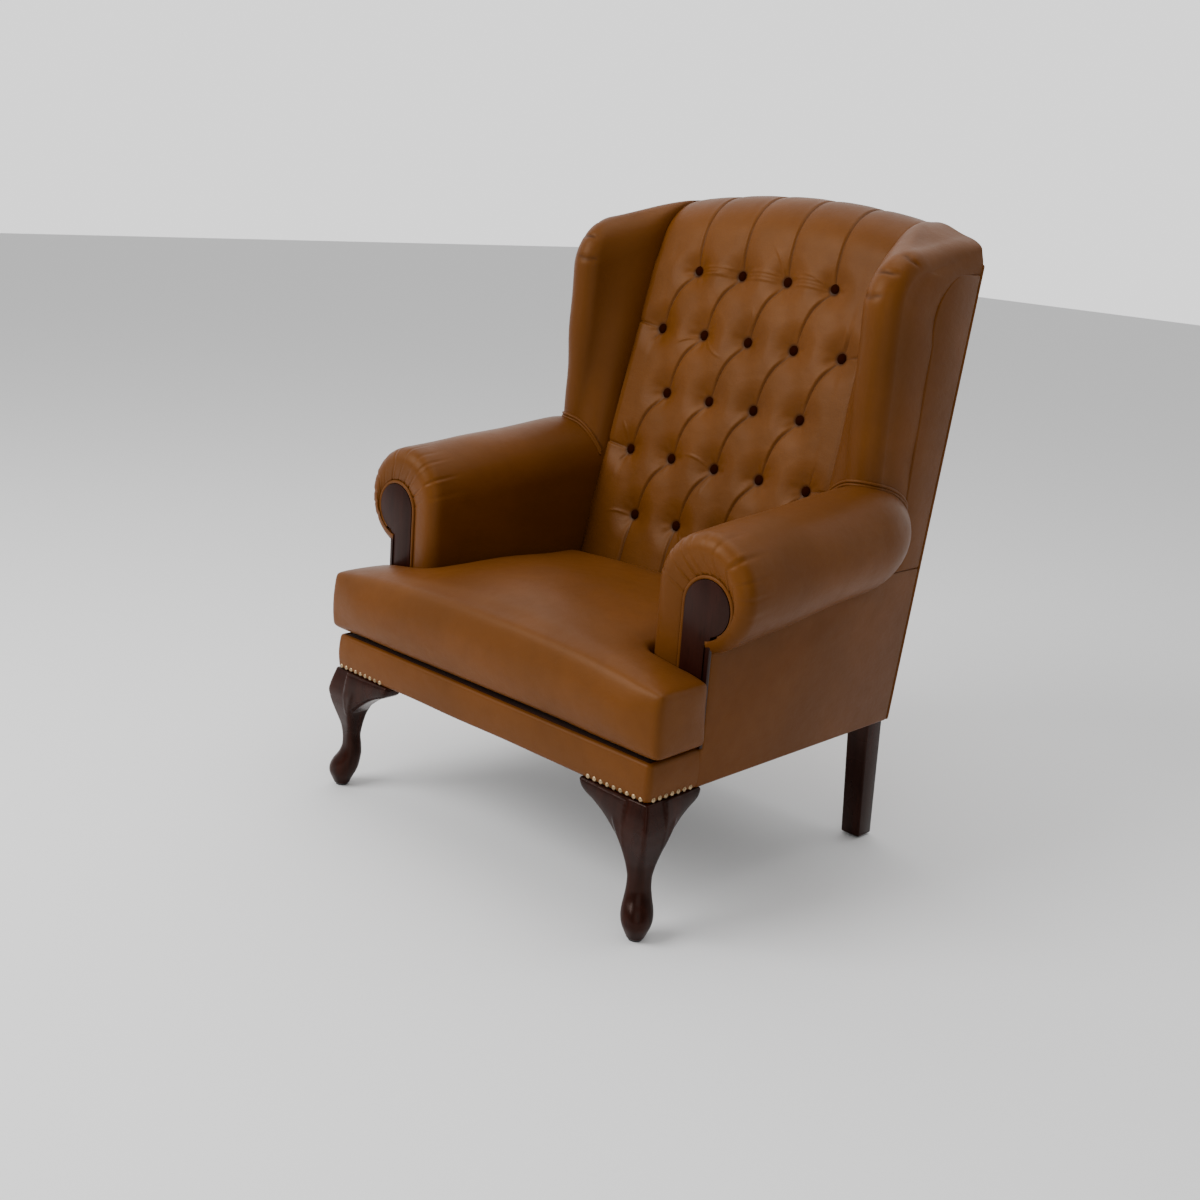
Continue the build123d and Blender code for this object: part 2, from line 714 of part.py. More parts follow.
# Outside panels, the band and the outside back
def make_panels():
    inner = half_width - cover_thick
    roll = arm_form(soft_gap)
    rear = lambda z: rear_y(z, cover_thick + fit_gap)
    front = arm_front + fit_gap
    outline = [(front, leg_height), (rear(leg_height), leg_height), (rear(side_seam_z), side_seam_z),
               (front, side_seam_z)]
    start = arm_front - 1
    facing = extrude(Face(facing_wire(start, fit_gap)), amount=facing_back + fit_gap - start, dir=(0, 1, 0))
    keep_pair("outside_arm", single(prism(outline, inner, half_width).cut(roll, facing.solids()[0])))
    low = side_seam_z + fit_gap
    top_y = (seam_high_y + rear(seam_top_z)) / 2
    middle = (seam_high_y + (top_y - seam_high_y) * 0.25, seam_high_z + (seam_top_z - seam_high_z) * 0.7)
    spots = [(inner, y, z) for y, z in ((seam_low_y, low), (seam_high_y, seam_high_z), middle, (top_y, seam_top_z),
                                        (rear(seam_top_z), seam_top_z), (rear(low), low))]
    edges = [line(spots[0], spots[1]), arc(spots[1], spots[2], spots[3]), line(spots[3], spots[4]),
             line(spots[4], spots[5]), line(spots[5], spots[0])]
    panel = extrude(Face(Wire(edges)), amount=cover_thick, dir=(1, 0, 0)).solids()[0]
    keep_pair("outside_wing", single(panel.cut(roll)))
    ends = crest_top - top_arch * (half_width / back_half) ** 2
    edges = [line((-half_width, 0, leg_height), (half_width, 0, leg_height)),
             line((half_width, 0, leg_height), (half_width, 0, ends)),
             arc((half_width, 0, ends), (0, 0, crest_top), (-half_width, 0, ends)),
             line((-half_width, 0, ends), (-half_width, 0, leg_height))]
    sheet = extrude(Face(Wire(edges)), amount=2 * rear_y(top_height), dir=(0, 1, 0)).solids()[0]
    skin = between(leg_height, crest_top, lambda z: rear_y(z, cover_thick), rear_y)
    keep("outside_back", single(sheet & prism(skin, -half_width, half_width)))
    outer = block(-half_width, half_width, 0, arm_front, leg_height, band_top)
    hollow = block(-inner, inner, cover_thick, arm_front + 1, leg_height - 1, band_top + 1)
    band = outer.cut(hollow)
    corners = [edge for edge in band.edges().filter_by(Axis.Z)
               if abs(edge.center().Y) < fit_gap and abs(edge.center().X) > inner]
    keep("front_band", single(band.fillet(cover_thick, corners)))


# Loose cushion: T plan with drawn-in sides, crowned by sections from front to rear
def cushion_plan(inset, low, high):
    wide = half_width + ear_over - inset
    front = -cushion_over + inset
    ear = arm_front - nose_out - cushion_gap - inset
    stem = seat_half - cushion_gap - inset
    rear = face_y(top_height)
    c, cut = cushion_corner, cushion_corner * 0.293
    right = [((wide - c, front), (wide - cut, front + cut), (wide, front + c)),
             ((wide, front + c), (wide - cushion_draw, (front + ear) / 2), (wide, ear - c)),
             ((wide, ear - c), (wide - cut, ear - cut), (wide - c, ear))]
    edges = [arc((-wide + c, front, low), (0, front + cushion_draw, low), (wide - c, front, low))]
    for curve in right:
        edges.append(arc(*[(x, y, low) for x, y in curve]))
        edges.append(arc(*[(-x, y, low) for x, y in curve]))
    for side in (-1, 1):
        edges.append(line((side * (wide - c), ear, low), (side * stem, ear, low)))
        edges.append(line((side * stem, ear, low), (side * stem, rear, low)))
    edges.append(line((-stem, rear, low), (stem, rear, low)))
    return extrude(Face(Wire.combine(edges)[0]), amount=high - low, dir=(0, 0, 1)).solids()[0]


def crown_wire(y, wide, low, edge, crown):
    s, cut = cushion_shoulder, cushion_shoulder * 0.293
    shoulder_z = edge - s
    edges = [line((-wide, y, low), (wide, y, low)), line((wide, y, low), (wide, y, shoulder_z)),
             arc((wide, y, shoulder_z), (wide - cut, y, edge - cut), (wide - s, y, edge)),
             arc((wide - s, y, edge), (0, y, edge + crown), (-wide + s, y, edge)),
             arc((-wide + s, y, edge), (-wide + cut, y, edge - cut), (-wide, y, shoulder_z)),
             line((-wide, y, shoulder_z), (-wide, y, low))]
    return Wire(edges)


def cushion_form(inset):
    low = band_top + soft_gap + inset
    edge = band_top + soft_gap + cushion_edge - inset
    wide = half_width + ear_over - inset
    front = -cushion_over + inset
    rear = face_y(band_top + cushion_edge)
    length = rear - front
    s = cushion_shoulder
    wires = [crown_wire(front, wide, low + s * 0.6, edge - s * 1.2, cushion_crown * 0.7),
             crown_wire(front + s * 0.15, wide, low + s * 0.2, edge - s * 0.55, cushion_crown * 0.8),
             crown_wire(front + s, wide, low, edge, cushion_crown * 0.85),
             crown_wire(front + length * 0.12, wide, low, edge, cushion_crown * 0.95),
             crown_wire(front + length * 0.45, wide, low, edge, cushion_crown),
             crown_wire(front + length * 0.8, wide, low, edge, cushion_crown * 0.85),
             crown_wire(rear, wide, low, edge, cushion_crown * 0.65)]
    form = Solid.make_loft(wires, True) & cushion_plan(inset, low - 1, edge + 2 * cushion_crown)
    back_line = lambda z: face_y(z, tuft_crown + cushion_back_gap + inset)
    beyond = lambda z: rear + z
    trimmed = single(form).cut(prism(between(low - 1, edge + 2 * cushion_crown, back_line, beyond), -wide, wide))
    return single(trimmed)


def make_cushion():
    keep("cushion_cover", single(cushion_form(0).cut(cushion_form(cushion_wall))))
    keep("cushion_core", cushion_form(cushion_wall + soft_gap))


# Cabriole leg: square knee with an outward corner, slim ankle, round foot
def leg_wire(z, out, side, radius):
    shift = corner_shift(out, radius)
    x1, y0 = half_width + shift, -shift
    x0, y1 = x1 - side, y0 + side
    r, c = radius, radius * (1 - cos(pi / 4))
    at = lambda spot: (spot[0], spot[1], z)
    edges = [line(at((x0 + r, y0)), at((x1 - r, y0))),
             arc(at((x1 - r, y0)), at((x1 - c, y0 + c)), at((x1, y0 + r))),
             line(at((x1, y0 + r)), at((x1, y1 - r))),
             arc(at((x1, y1 - r)), at((x1 - c, y1 - c)), at((x1 - r, y1))),
             line(at((x1 - r, y1)), at((x0 + r, y1))),
             arc(at((x0 + r, y1)), at((x0 + c, y1 - c)), at((x0, y1 - r))),
             line(at((x0, y1 - r)), at((x0, y0 + r))),
             arc(at((x0, y0 + r)), at((x0 + c, y0 + c)), at((x0 + r, y0)))]
    return Wire(edges)


# Knee ear: tapers along X from the knee to its tip
def knee_ear(reach):
    start = half_width - leg_top * 0.55
    tip = half_width - reach
    wires = []
    for share, fall, out in ((0.0, 80.0, 10.0), (0.3, 58.0, 8.0), (0.6, 38.0, 4.0), (0.85, 27.0, 1.0), (1.0, 18.0, -2.0)):
        x = start + (tip - start) * share
        low = leg_height - fall
        wires.append(Wire.make_polygon([(x, -out, low + 6), (x, 8 - out, low), (x, ear_depth, low),
                                        (x, ear_depth, leg_height), (x, 0, leg_height)], close=True))
    return Solid.make_loft(wires, True)


# Each section: share of the height, corner past the band's corner, side, corner radius
def leg_sections():
    rows = [(1.0, 0.0, 1.0, 0.04), (0.9, 9.0, 1.0, 0.055), (0.81, 15.0, 0.96, 0.085), (0.71, 9.0, 0.8, 0.14),
            (0.61, -1.0, 0.62, 0.22), (0.52, -10.0, 0.5, 0.3), (0.43, -14.0, 0.43, 0.37), (0.34, -14.0, 0.46, 0.38),
            (0.27, -8.0, 0.54, 0.4), (0.21, 3.0, 0.635, 0.425), (0.15, 9.0, 0.66, 0.43), (0.1, 9.0, 0.61, 0.44),
            (0.05, 4.0, 0.475, 0.44), (0.0, -2.0, 0.35, 0.46)]
    return [(share, out, leg_top * part, leg_top * part * bend) for share, out, part, bend in rows]


def corner_shift(out, radius):
    return (out + radius * (sqrt(2) - 1)) / sqrt(2)


def front_leg():
    span = leg_height - glide_h
    wires = [leg_wire(glide_h + span * share, out, side, radius) for share, out, side, radius in leg_sections()]
    form = Solid.make_loft(wires, False)
    corner_swap = Plane((half_width, 0, 0), z_dir=(1, 1, 0))
    side_ear = mirror(knee_ear(side_ear_reach), about=corner_swap)
    leg = single(form + knee_ear(ear_reach) + side_ear)
    x, y = frame_half - rail_thick - bolt_in, side_front + bolt_in
    hole = rod(bolt_r + fit_gap, (x, y, leg_height - bolt_down), (x, y, leg_height + 1))
    return single(leg.cut(hole))


def foot_centre():
    share, out, side, radius = leg_sections()[-1]
    shift = corner_shift(out, radius)
    half = side / 2
    return half_width + shift - half, half - shift


def rear_leg():
    x, y = rear_leg_centre()
    square = lambda cx, cy, z, side: Wire.make_polygon(
        [(cx + dx * side / 2, cy + dy * side / 2, z) for dx, dy in ((-1, -1), (1, -1), (1, 1), (-1, 1))], close=True)
    leg = Solid.make_loft([square(x, y + rear_leg_kick, glide_h, rear_leg_foot), square(x, y, leg_height, rear_leg_top)],
                          True)
    return leg.cut(rod(bolt_r + fit_gap, (x, y, leg_height - bolt_down), (x, y, leg_height + 1)))


def make_legs():
    keep_pair("front_leg", front_leg())
    keep_pair("rear_leg", rear_leg())
    x, y = frame_half - rail_thick - bolt_in, side_front + bolt_in
    front_bolt = rod(bolt_r, (x, y, leg_height - bolt_down), (x, y, block_high + nut_h + bolt_tip))
    leg_x, leg_y = rear_leg_centre()
    rear_bolt = rod(bolt_r, (leg_x, leg_y, leg_height - bolt_down), (leg_x, leg_y, leg_height + bolt_up))
    keep_group("leg_bolts", [front_bolt, rear_bolt, flip(front_bolt), flip(rear_bolt)])
    hexagon = Wire.make_polygon([(x + nut_r * cos(k * pi / 3), y + nut_r * sin(k * pi / 3), block_high)
                                 for k in range(6)], close=True)
    nut = extrude(Face(hexagon), amount=nut_h, dir=(0, 0, 1)).solids()[0]
    nut = nut.cut(rod(bolt_r + fit_gap, (x, y, block_high - 1), (x, y, block_high + nut_h + 1)))
    keep_group("leg_nuts", [nut, flip(nut)])
    front_x, front_y = foot_centre()
    glides = []
    for gx, gy in ((front_x, front_y), (leg_x, leg_y + rear_leg_kick)):
        glide = rod(glide_r, (gx, gy, 0), (gx, gy, glide_h))
        glides += [glide, flip(glide)]
    keep_group("floor_glides", glides)
    nails = []
    z = leg_height + nail_lift
    for k in range(int((ear_reach - 2 * nail_pitch) / nail_pitch) + 1):
        spot = (half_width - nail_pitch - k * nail_pitch, 0, z)
        nails.append(dome(nail_r, nail_h, Plane(spot, z_dir=(0, -1, 0))))
    for k in range(int((arm_front - 2 * nail_pitch) / nail_pitch) + 1):
        spot = (half_width, nail_pitch + k * nail_pitch, z)
        nails.append(dome(nail_r, nail_h, Plane(spot, z_dir=(1, 0, 0))))
    keep_group("brass_nails", nails + [flip(nail) for nail in nails])


make_frame()
make_deck()
make_back()
make_arms()
make_wings()
make_panels()
make_cushion()
make_legs()

# The origin is on the floor, in the middle of the chair's width and depth
boxes = [shape.bounding_box() for shape in parts.values()]
middle = (min(box.min.Y for box in boxes) + max(box.max.Y for box in boxes)) / 2
os.makedirs("parts", exist_ok=True)
for name, shape in parts.items():
    export_step(Pos(0, -middle, 0) * shape, "parts/" + name + ".step")
print("nodes", len(parts), "origin at y", round(middle, 3))
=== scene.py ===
import json
from math import acos, atan2, cos, hypot, pi, radians, sin, sqrt, tan
import bmesh
import bpy
import numpy as np
from mathutils import Matrix, Vector


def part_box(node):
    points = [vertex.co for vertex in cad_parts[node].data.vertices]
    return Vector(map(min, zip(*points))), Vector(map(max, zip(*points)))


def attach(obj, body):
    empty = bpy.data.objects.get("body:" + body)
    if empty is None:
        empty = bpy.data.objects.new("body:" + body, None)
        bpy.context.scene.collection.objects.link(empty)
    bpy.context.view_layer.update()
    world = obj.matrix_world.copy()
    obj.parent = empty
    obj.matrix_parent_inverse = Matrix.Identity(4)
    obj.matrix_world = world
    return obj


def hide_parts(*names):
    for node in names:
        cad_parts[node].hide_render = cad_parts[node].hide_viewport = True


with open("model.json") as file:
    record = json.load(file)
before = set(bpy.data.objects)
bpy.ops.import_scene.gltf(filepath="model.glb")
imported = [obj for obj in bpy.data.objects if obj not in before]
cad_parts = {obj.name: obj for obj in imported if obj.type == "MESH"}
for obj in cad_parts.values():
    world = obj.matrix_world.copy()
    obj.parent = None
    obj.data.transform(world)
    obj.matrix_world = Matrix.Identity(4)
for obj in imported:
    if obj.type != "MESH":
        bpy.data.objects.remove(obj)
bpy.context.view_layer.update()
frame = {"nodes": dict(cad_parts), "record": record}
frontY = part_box("front_band")[0].y    # pieces are laid out with y = 0 at the band's front

# Sizes in metres that several pieces share
chair = {
    "halfWidth": 0.388, "frameHalf": 0.3798, "seatHalf": 0.268, "legHeight": 0.228, "topHeight": 1.122,
    "bandTop": 0.292, "rearFootY": 0.640, "cover": 0.008,
    "backLean": radians(15.5), "rearLean": radians(9.2),
    "rowY": 0.524, "rowZ": 0.503, "rowPitch": 0.121, "wideRow": 5, "rows": 5,
    "padDepth": 0.043, "topCrown": 0.012, "topArch": 0.024, "crestTop": 1.085,
}
halfWidth, frameHalf, seatHalf = chair["halfWidth"], chair["frameHalf"], chair["seatHalf"]
legHeight, topHeight, cover = chair["legHeight"], chair["topHeight"], chair["cover"]
rowY, rowZ, rowPitch, wideRow, rows = (chair[key] for key in ("rowY", "rowZ", "rowPitch", "wideRow", "rows"))
padDepth, topCrown, topArch, crestTop = (chair[key] for key in ("padDepth", "topCrown", "topArch", "crestTop"))
lean, rearLean = chair["backLean"], chair["rearLean"]
fit = 0.0002                          # between pieces that lie against each other
backHalf = seatHalf - 2 * fit
buttonPitch = 2 * backHalf / wideRow
sides = ((1, "right"), (-1, "left"))


# Y of the buttoned plane and of the outside back at a height
def faceY(z, out=0.0):
    return rowY + (z - rowZ) * tan(lean) - out / cos(lean)


def rearY(z, inset=0.0):
    return chair["rearFootY"] + (z - legHeight) * tan(rearLean) - inset / cos(rearLean)


def smoothStep(low, high, value):
    t = np.clip((np.asarray(value, float) - low) / (high - low), 0, 1)
    return t * t * (3 - 2 * t)


def bell(gap, width, power=2):
    return np.exp(-(gap / width) ** power)


def unitCircle(turns):
    return np.column_stack([np.cos(turns), np.sin(turns)])


# Slow seeded unevenness, about -1 to 1, so that no stretched surface is dead flat
def drift(points, seed, wavelength, waves=6):
    rng = np.random.default_rng(seed)
    total = np.zeros(points.shape[:-1])
    for _ in range(waves):
        way = rng.normal(size=3)
        way /= np.linalg.norm(way)
        turn = 2 * pi / (wavelength * rng.uniform(0.7, 1.4))
        total += np.sin(points @ way * turn + rng.uniform(0, 2 * pi))
    return total / sqrt(waves)


# A mesh of points that are laid out from the band's front, put into the shared frame
def newMesh(name, points, edges=(), faces=()):
    spots = np.array(points, float).reshape(-1, 3)
    spots[:, 1] += frontY
    mesh = bpy.data.meshes.new(name)
    mesh.from_pydata(spots.tolist(), edges, faces)
    return mesh


def addObject(name, data):
    made = bpy.data.objects.new(name, data)
    bpy.context.scene.collection.objects.link(made)
    return made


def makeObject(name, points, faces, sharpAngle=50):
    mesh = newMesh(name, points, faces=faces)
    work = bmesh.new()
    work.from_mesh(mesh)
    bmesh.ops.remove_doubles(work, verts=work.verts, dist=1e-6)
    bmesh.ops.recalc_face_normals(work, faces=work.faces)
    work.to_mesh(mesh)
    work.free()
    mesh.shade_smooth()
    mesh.set_sharp_from_angle(angle=radians(sharpAngle))
    return addObject(name, mesh)


# A skin through closed rings of points, with both ends closed
def ringPiece(name, rings, sharpAngle=50):
    rings = np.asarray(rings, float)
    count, around = rings.shape[:2]
    index = np.arange(count * around).reshape(count, around)
    near, far = index[:-1], index[1:]
    quads = np.stack([near, np.roll(near, -1, 1), np.roll(far, -1, 1), far], -1).reshape(-1, 4).tolist()
    quads.append(index[0][::-1].tolist())
    quads.append(index[-1].tolist())
    return makeObject(name, rings, quads, sharpAngle)


# Flat outlines joined into a plate, with rounded edges
def platePiece(name, outlines, edge):
    piece = ringPiece(name, outlines, 40)
    rounding = piece.modifiers.new("Edge", "BEVEL")
    rounding.width = edge
    rounding.segments = 3
    rounding.limit_method = "ANGLE"
    rounding.angle_limit = radians(35)
    bakeModifiers(piece)
    piece.data.shade_smooth()
    piece.data.set_sharp_from_angle(angle=radians(60))
    return piece


def bakeModifiers(piece):
    bpy.context.view_layer.update()
    result = bpy.data.meshes.new_from_object(piece.evaluated_get(bpy.context.evaluated_depsgraph_get()))
    piece.modifiers.clear()
    old = piece.data
    piece.data = result
    result.name = piece.name
    bpy.data.meshes.remove(old)


def coordsOf(mesh):
    spots = np.zeros(len(mesh.vertices) * 3)
    mesh.vertices.foreach_get("co", spots)
    return spots.reshape(-1, 3)


def setCoords(mesh, spots):
    mesh.vertices.foreach_set("co", spots.ravel())
    mesh.update()


# Move each point along its normal
def pushOut(mesh, distance):
    normals = np.zeros(len(mesh.vertices) * 3)
    mesh.vertex_normals.foreach_get("vector", normals)
    setCoords(mesh, coordsOf(mesh) + normals.reshape(-1, 3) * distance[:, None])


# Painted shade: how far the leather's colour is darkened towards the shade colour at each point, in pleats, folds and
# button wells
def paintPleatShade(mesh, paintedShade):
    attribute = mesh.attributes.new("pleatShade", "FLOAT", "POINT")
    attribute.data.foreach_set("value", paintedShade)


# Even out a value of each point with those of its neighbours
def spread(mesh, field, rounds, factor=0.5, share=1.0):
    edges = np.zeros(len(mesh.edges) * 2, int)
    mesh.edges.foreach_get("vertices", edges)
    one, two = edges.reshape(-1, 2).T
    links = np.bincount(np.concatenate([one, two]), minlength=len(field))[:, None]
    for _ in range(rounds):
        total = np.zeros_like(field)
        np.add.at(total, one, field[two])
        np.add.at(total, two, field[one])
        field = field + factor * share * (total / links - field)
    return field


def relax(mesh, rounds, factor=0.5, share=1.0):
    setCoords(mesh, spread(mesh, coordsOf(mesh), rounds, factor, share))


def remesh(piece, voxel):
    fill = piece.modifiers.new("Remesh", "REMESH")
    fill.mode = "VOXEL"
    fill.voxel_size = voxel
    bakeModifiers(piece)
    piece.data.shade_smooth()


# Air pressure under the leather, with a limit on how far a point may move
def swell(piece, pressure, steps, limit):
    start = coordsOf(piece.data)
    cloth = piece.modifiers.new("Swell", "CLOTH")
    settings = {"quality": 5, "mass": 0.4, "tension_stiffness": 18, "compression_stiffness": 18,
                "bending_stiffness": 2.0, "use_pressure": True, "uniform_pressure_force": pressure}
    for key, value in settings.items():
        setattr(cloth.settings, key, value)
    cloth.settings.effector_weights.gravity = 0
    cloth.collision_settings.use_collision = False
    cloth.point_cache.frame_start = 1
    cloth.point_cache.frame_end = steps
    for step in range(1, steps + 1):
        bpy.context.scene.frame_set(step)
    grown = piece.evaluated_get(bpy.context.evaluated_depsgraph_get()).to_mesh()
    moved = coordsOf(grown) - start
    piece.modifiers.clear()
    bpy.context.scene.frame_set(1)
    reach = np.linalg.norm(moved, axis=1, keepdims=True)
    moved *= np.minimum(1, limit / np.maximum(reach, 1e-9))
    setCoords(piece.data, start + spread(piece.data, moved, 24))


def refine(piece):
    finer = piece.modifiers.new("Refine", "SUBSURF")
    finer.levels = finer.render_levels = 1
    bakeModifiers(piece)
    piece.data.shade_smooth()


def settle(piece, material, stands=(), body="chair_frame"):
    piece.data.materials.clear()
    piece.data.materials.append(material)
    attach(piece, body)
    if stands:
        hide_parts(*stands)


def upholster(piece, stands=()):
    settle(piece, leather, stands)


# Shader maths: a wrapped socket that takes part in expressions
class Wire:
    def __init__(self, finish, socket):
        self.finish, self.socket = finish, socket

    def maths(self, operation, first, second):
        return self.finish.node("ShaderNodeMath", {"operation": operation}, {0: first, 1: second})

    def __add__(self, other):
        return self.maths("ADD", self, other)

    def __mul__(self, other):
        return self.maths("MULTIPLY", self, other)

    __radd__ = __add__
    __rmul__ = __mul__


class NodeMaker:
    def __init__(self, tree):
        self.tree = tree

    def node(self, kind, settings=None, sockets=None, output=0):
        made = self.tree.nodes.new(kind)
        for key, value in (settings or {}).items():
            setattr(made, key, value)
        for key, value in (sockets or {}).items():
            if isinstance(value, Wire):
                self.tree.links.new(value.socket, made.inputs[key])
            else:
                made.inputs[key].default_value = value
        return Wire(self, made.outputs[output])


class Finish(NodeMaker):
    def __init__(self, name, **constants):
        self.material = bpy.data.materials.new(name)
        self.material.use_nodes = True
        self.tree = self.material.node_tree
        self.shader = self.tree.nodes["Principled BSDF"]
        for key, value in constants.items():
            self.shader.inputs[key.replace("_", " ")].default_value = value
        self.place = self.node("ShaderNodeTexCoord", output="Object")

    def noise(self, scale, detail=3.0, stretch=(1, 1, 1), roughness=0.5):
        place = self.node("ShaderNodeMapping", None, {"Vector": self.place, "Scale": stretch})
        return self.node("ShaderNodeTexNoise", None, {"Vector": place, "Scale": scale, "Detail": detail,
                                                      "Roughness": roughness})

    def cells(self, scale):
        return self.node("ShaderNodeTexVoronoi", {"feature": "SMOOTH_F1"}, {"Vector": self.place, "Scale": scale,
                                                                          "Smoothness": 0.6})

    def mix(self, factor, first, second):
        return self.node("ShaderNodeMix", {"data_type": "RGBA"}, {0: factor, 6: first, 7: second}, 2)

    def band(self, value, low, high):
        return self.node("ShaderNodeMapRange", {"interpolation_type": "SMOOTHSTEP"},
                         {"Value": value, "From Min": low, "From Max": high})

    def bump(self, height, strength, distance, under=None):
        sockets = {"Height": height, "Strength": strength, "Distance": distance}
        if under is not None:
            sockets["Normal"] = under
        return self.node("ShaderNodeBump", None, sockets)

    def set(self, **links):
        for key, value in links.items():
            self.tree.links.new(value.socket, self.shader.inputs[key.replace("_", " ")])
        return self.material


def tint(colour, factor):
    return tuple(channel * factor for channel in colour) + (1.0,)


# Tan leather: fine grain, soft creases, slow change of tone, and painted shade that darkens the pleats, folds and
# button wells
def leatherFinish(name, colour, shade, shine=0.15, coat=0.06):
    made = Finish(name, Coat_Roughness=0.35, Specular_IOR_Level=shine, Specular_Tint=(1.0, 0.74, 0.48, 1.0))
    tone = made.noise(5.0, 4.0)
    mottle = made.noise(38.0, 3.0)
    pleatShade = made.node("ShaderNodeAttribute", {"attribute_name": "pleatShade"}, output="Fac")
    base = made.mix(made.band(tone, 0.3, 0.7), tint(colour, 0.88), tint(colour, 1.1))
    base = made.mix(made.band(mottle, 0.35, 0.75) * 0.25, base, tint(colour, 0.8))
    # painted shade: the pleat attribute mixes the dark shade colour into the base colour
    base = made.mix(pleatShade, base, tint(shade, 1.0))
    grain = made.cells(650.0)
    pores = made.noise(420.0, 2.0)
    creases = made.noise(26.0, 5.0, (1, 1, 1.6), 0.62)
    soft = made.bump(creases, 0.22, 0.004)
    fine = made.bump(grain * 0.7 + pores * 0.3, 0.16, 0.0006, soft)
    rough = 0.36 + mottle * 0.12 + grain * 0.08
    return made.set(Base_Color=base, Roughness=rough, Coat_Weight=tone * coat + coat / 3, Normal=fine)


# Polished dark wood: long grain along Z with darker pores
def woodFinish(name, colour, gloss, stretch, contrast=0.55):
    made = Finish(name, Coat_Roughness=0.15, Specular_IOR_Level=0.14, Specular_Tint=(1.0, 0.72, 0.6, 1.0))
    rings = made.noise(34.0, 6.0, stretch, 0.62)
    pores = made.noise(240.0, 3.0, stretch, 0.6)
    wear = made.noise(7.0, 3.0)
    base = made.mix(made.band(rings, 0.32, 0.72), tint(colour, contrast), tint(colour, 1.35))
    base = made.mix(made.band(pores, 0.58, 0.72) * 0.6, base, tint(colour, 0.35))
    lines = made.bump(pores * 0.6 + rings * 0.4, 0.08, 0.0008)
    return made.set(Base_Color=base, Roughness=gloss + wear * 0.16, Coat_Weight=0.02 + wear * 0.06, Normal=lines)


# Metal with faint scratches and a tarnished tone
def metalFinish(name, colour, rough, tarnish):
    made = Finish(name, Metallic=1.0)
    spots = made.noise(60.0, 5.0)
    scratches = made.noise(180.0, 4.0, (1, 6, 1))
    base = made.mix(made.band(spots, 0.4, 0.75), colour + (1.0,), tint(colour, tarnish))
    return made.set(Base_Color=base, Roughness=rough + spots * 0.2, Normal=made.bump(scratches, 0.08, 0.0003))


# Plain woven cloth
def clothFinish(name, colour, threads):
    made = Finish(name, Sheen_Weight=0.04, Specular_IOR_Level=0.12)
    wave = {"Vector": made.place, "Scale": threads, "Distortion": 1.2}
    across, along = (made.node("ShaderNodeTexWave", {"bands_direction": way}, wave) for way in "XY")
    fuzz = made.noise(30.0, 4.0)
    weave = across * along
    base = made.mix(weave, tint(colour, 0.7), tint(colour, 1.15))
    base = made.mix(made.band(fuzz, 0.35, 0.8) * 0.3, base, tint(colour, 0.6))
    return made.set(Base_Color=base, Roughness=0.85 + fuzz * 0.1, Normal=made.bump(weave, 0.3, 0.0006))


# Foam and moulded plastic: speckled and matt
def speckFinish(name, colour, scale, rough):
    made = Finish(name)
    specks = made.cells(scale)
    cloud = made.noise(12.0, 3.0)
    base = made.mix(made.band(cloud, 0.3, 0.7), tint(colour, 0.85), tint(colour, 1.1))
    return made.set(Base_Color=base, Roughness=rough + specks * 0.1, Normal=made.bump(specks, 0.2, 0.0008))


hideTan = (0.113, 0.0346, 0.0036)
mahogany = (0.020, 0.0045, 0.0025)
shadeTan = (0.017, 0.003, 0.0005)      # painted shade colour: darkens the pleats and wells, and colours the buttons
leather = leatherFinish("tanLeather", hideTan, shadeTan)
# the buttons are given the painted shade colour, far darker than the tan leather they are covered in, to stand for the
# shade in their wells
buttonLeather = leatherFinish("buttonLeather", shadeTan, shadeTan, shine=0.0, coat=0.0)
legWood = woodFinish("mahoganyLegs", mahogany, 0.2, (1, 1, 0.12))
facingWood = woodFinish("mahoganyFacings", mahogany, 0.24, (1, 1, 0.1))
frameWood = woodFinish("beechFrame", (0.5, 0.33, 0.17), 0.5, (1, 1, 0.15), 0.8)
springSteel = metalFinish("springSteel", (0.45, 0.45, 0.46), 0.32, 0.6)
nailBrass = metalFinish("antiqueBrass", (0.42, 0.30, 0.17), 0.32, 0.5)
hessian = clothFinish("hessian", (0.42, 0.31, 0.17), 260.0)
platformCloth = clothFinish("platformCloth", (0.035, 0.009, 0.003), 420.0)
dustCloth = clothFinish("dustCloth", (0.02, 0.02, 0.02), 420.0)
foam = speckFinish("foam", (0.75, 0.68, 0.5), 300.0, 0.85)
glidePlastic = speckFinish("glidePlastic", (0.03, 0.03, 0.03), 500.0, 0.5)
print("finishes made")


# Geometry Nodes: a tree with named sizes, ending in real faces with their finish
class Growth(NodeMaker):
    def __init__(self, name, *sizes):
        self.tree = bpy.data.node_groups.new(name, "GeometryNodeTree")
        kinds = [("Geometry", "Geometry")] + [(size, "Float") for size in sizes] + [("Finish", "Material")]
        for label, kind in kinds:
            self.tree.interface.new_socket(label, in_out="INPUT", socket_type="NodeSocket" + kind)
        self.tree.interface.new_socket("Geometry", in_out="OUTPUT", socket_type="NodeSocketGeometry")
        source = self.tree.nodes.new("NodeGroupInput")
        self.given = {label: Wire(self, source.outputs[label]) for label, kind in kinds}

    def shape(self, kind, settings=None, **sockets):
        return self.node("GeometryNode" + kind, settings, {key.replace("_", " "): sockets[key] for key in sockets})

    def close(self, grown):
        real = self.shape("RealizeInstances", Geometry=grown)
        painted = self.shape("SetMaterial", Geometry=real, Material=self.given["Finish"])
        target = self.tree.nodes.new("NodeGroupOutput")
        self.tree.links.new(painted.socket, target.inputs[0])
        return self.tree


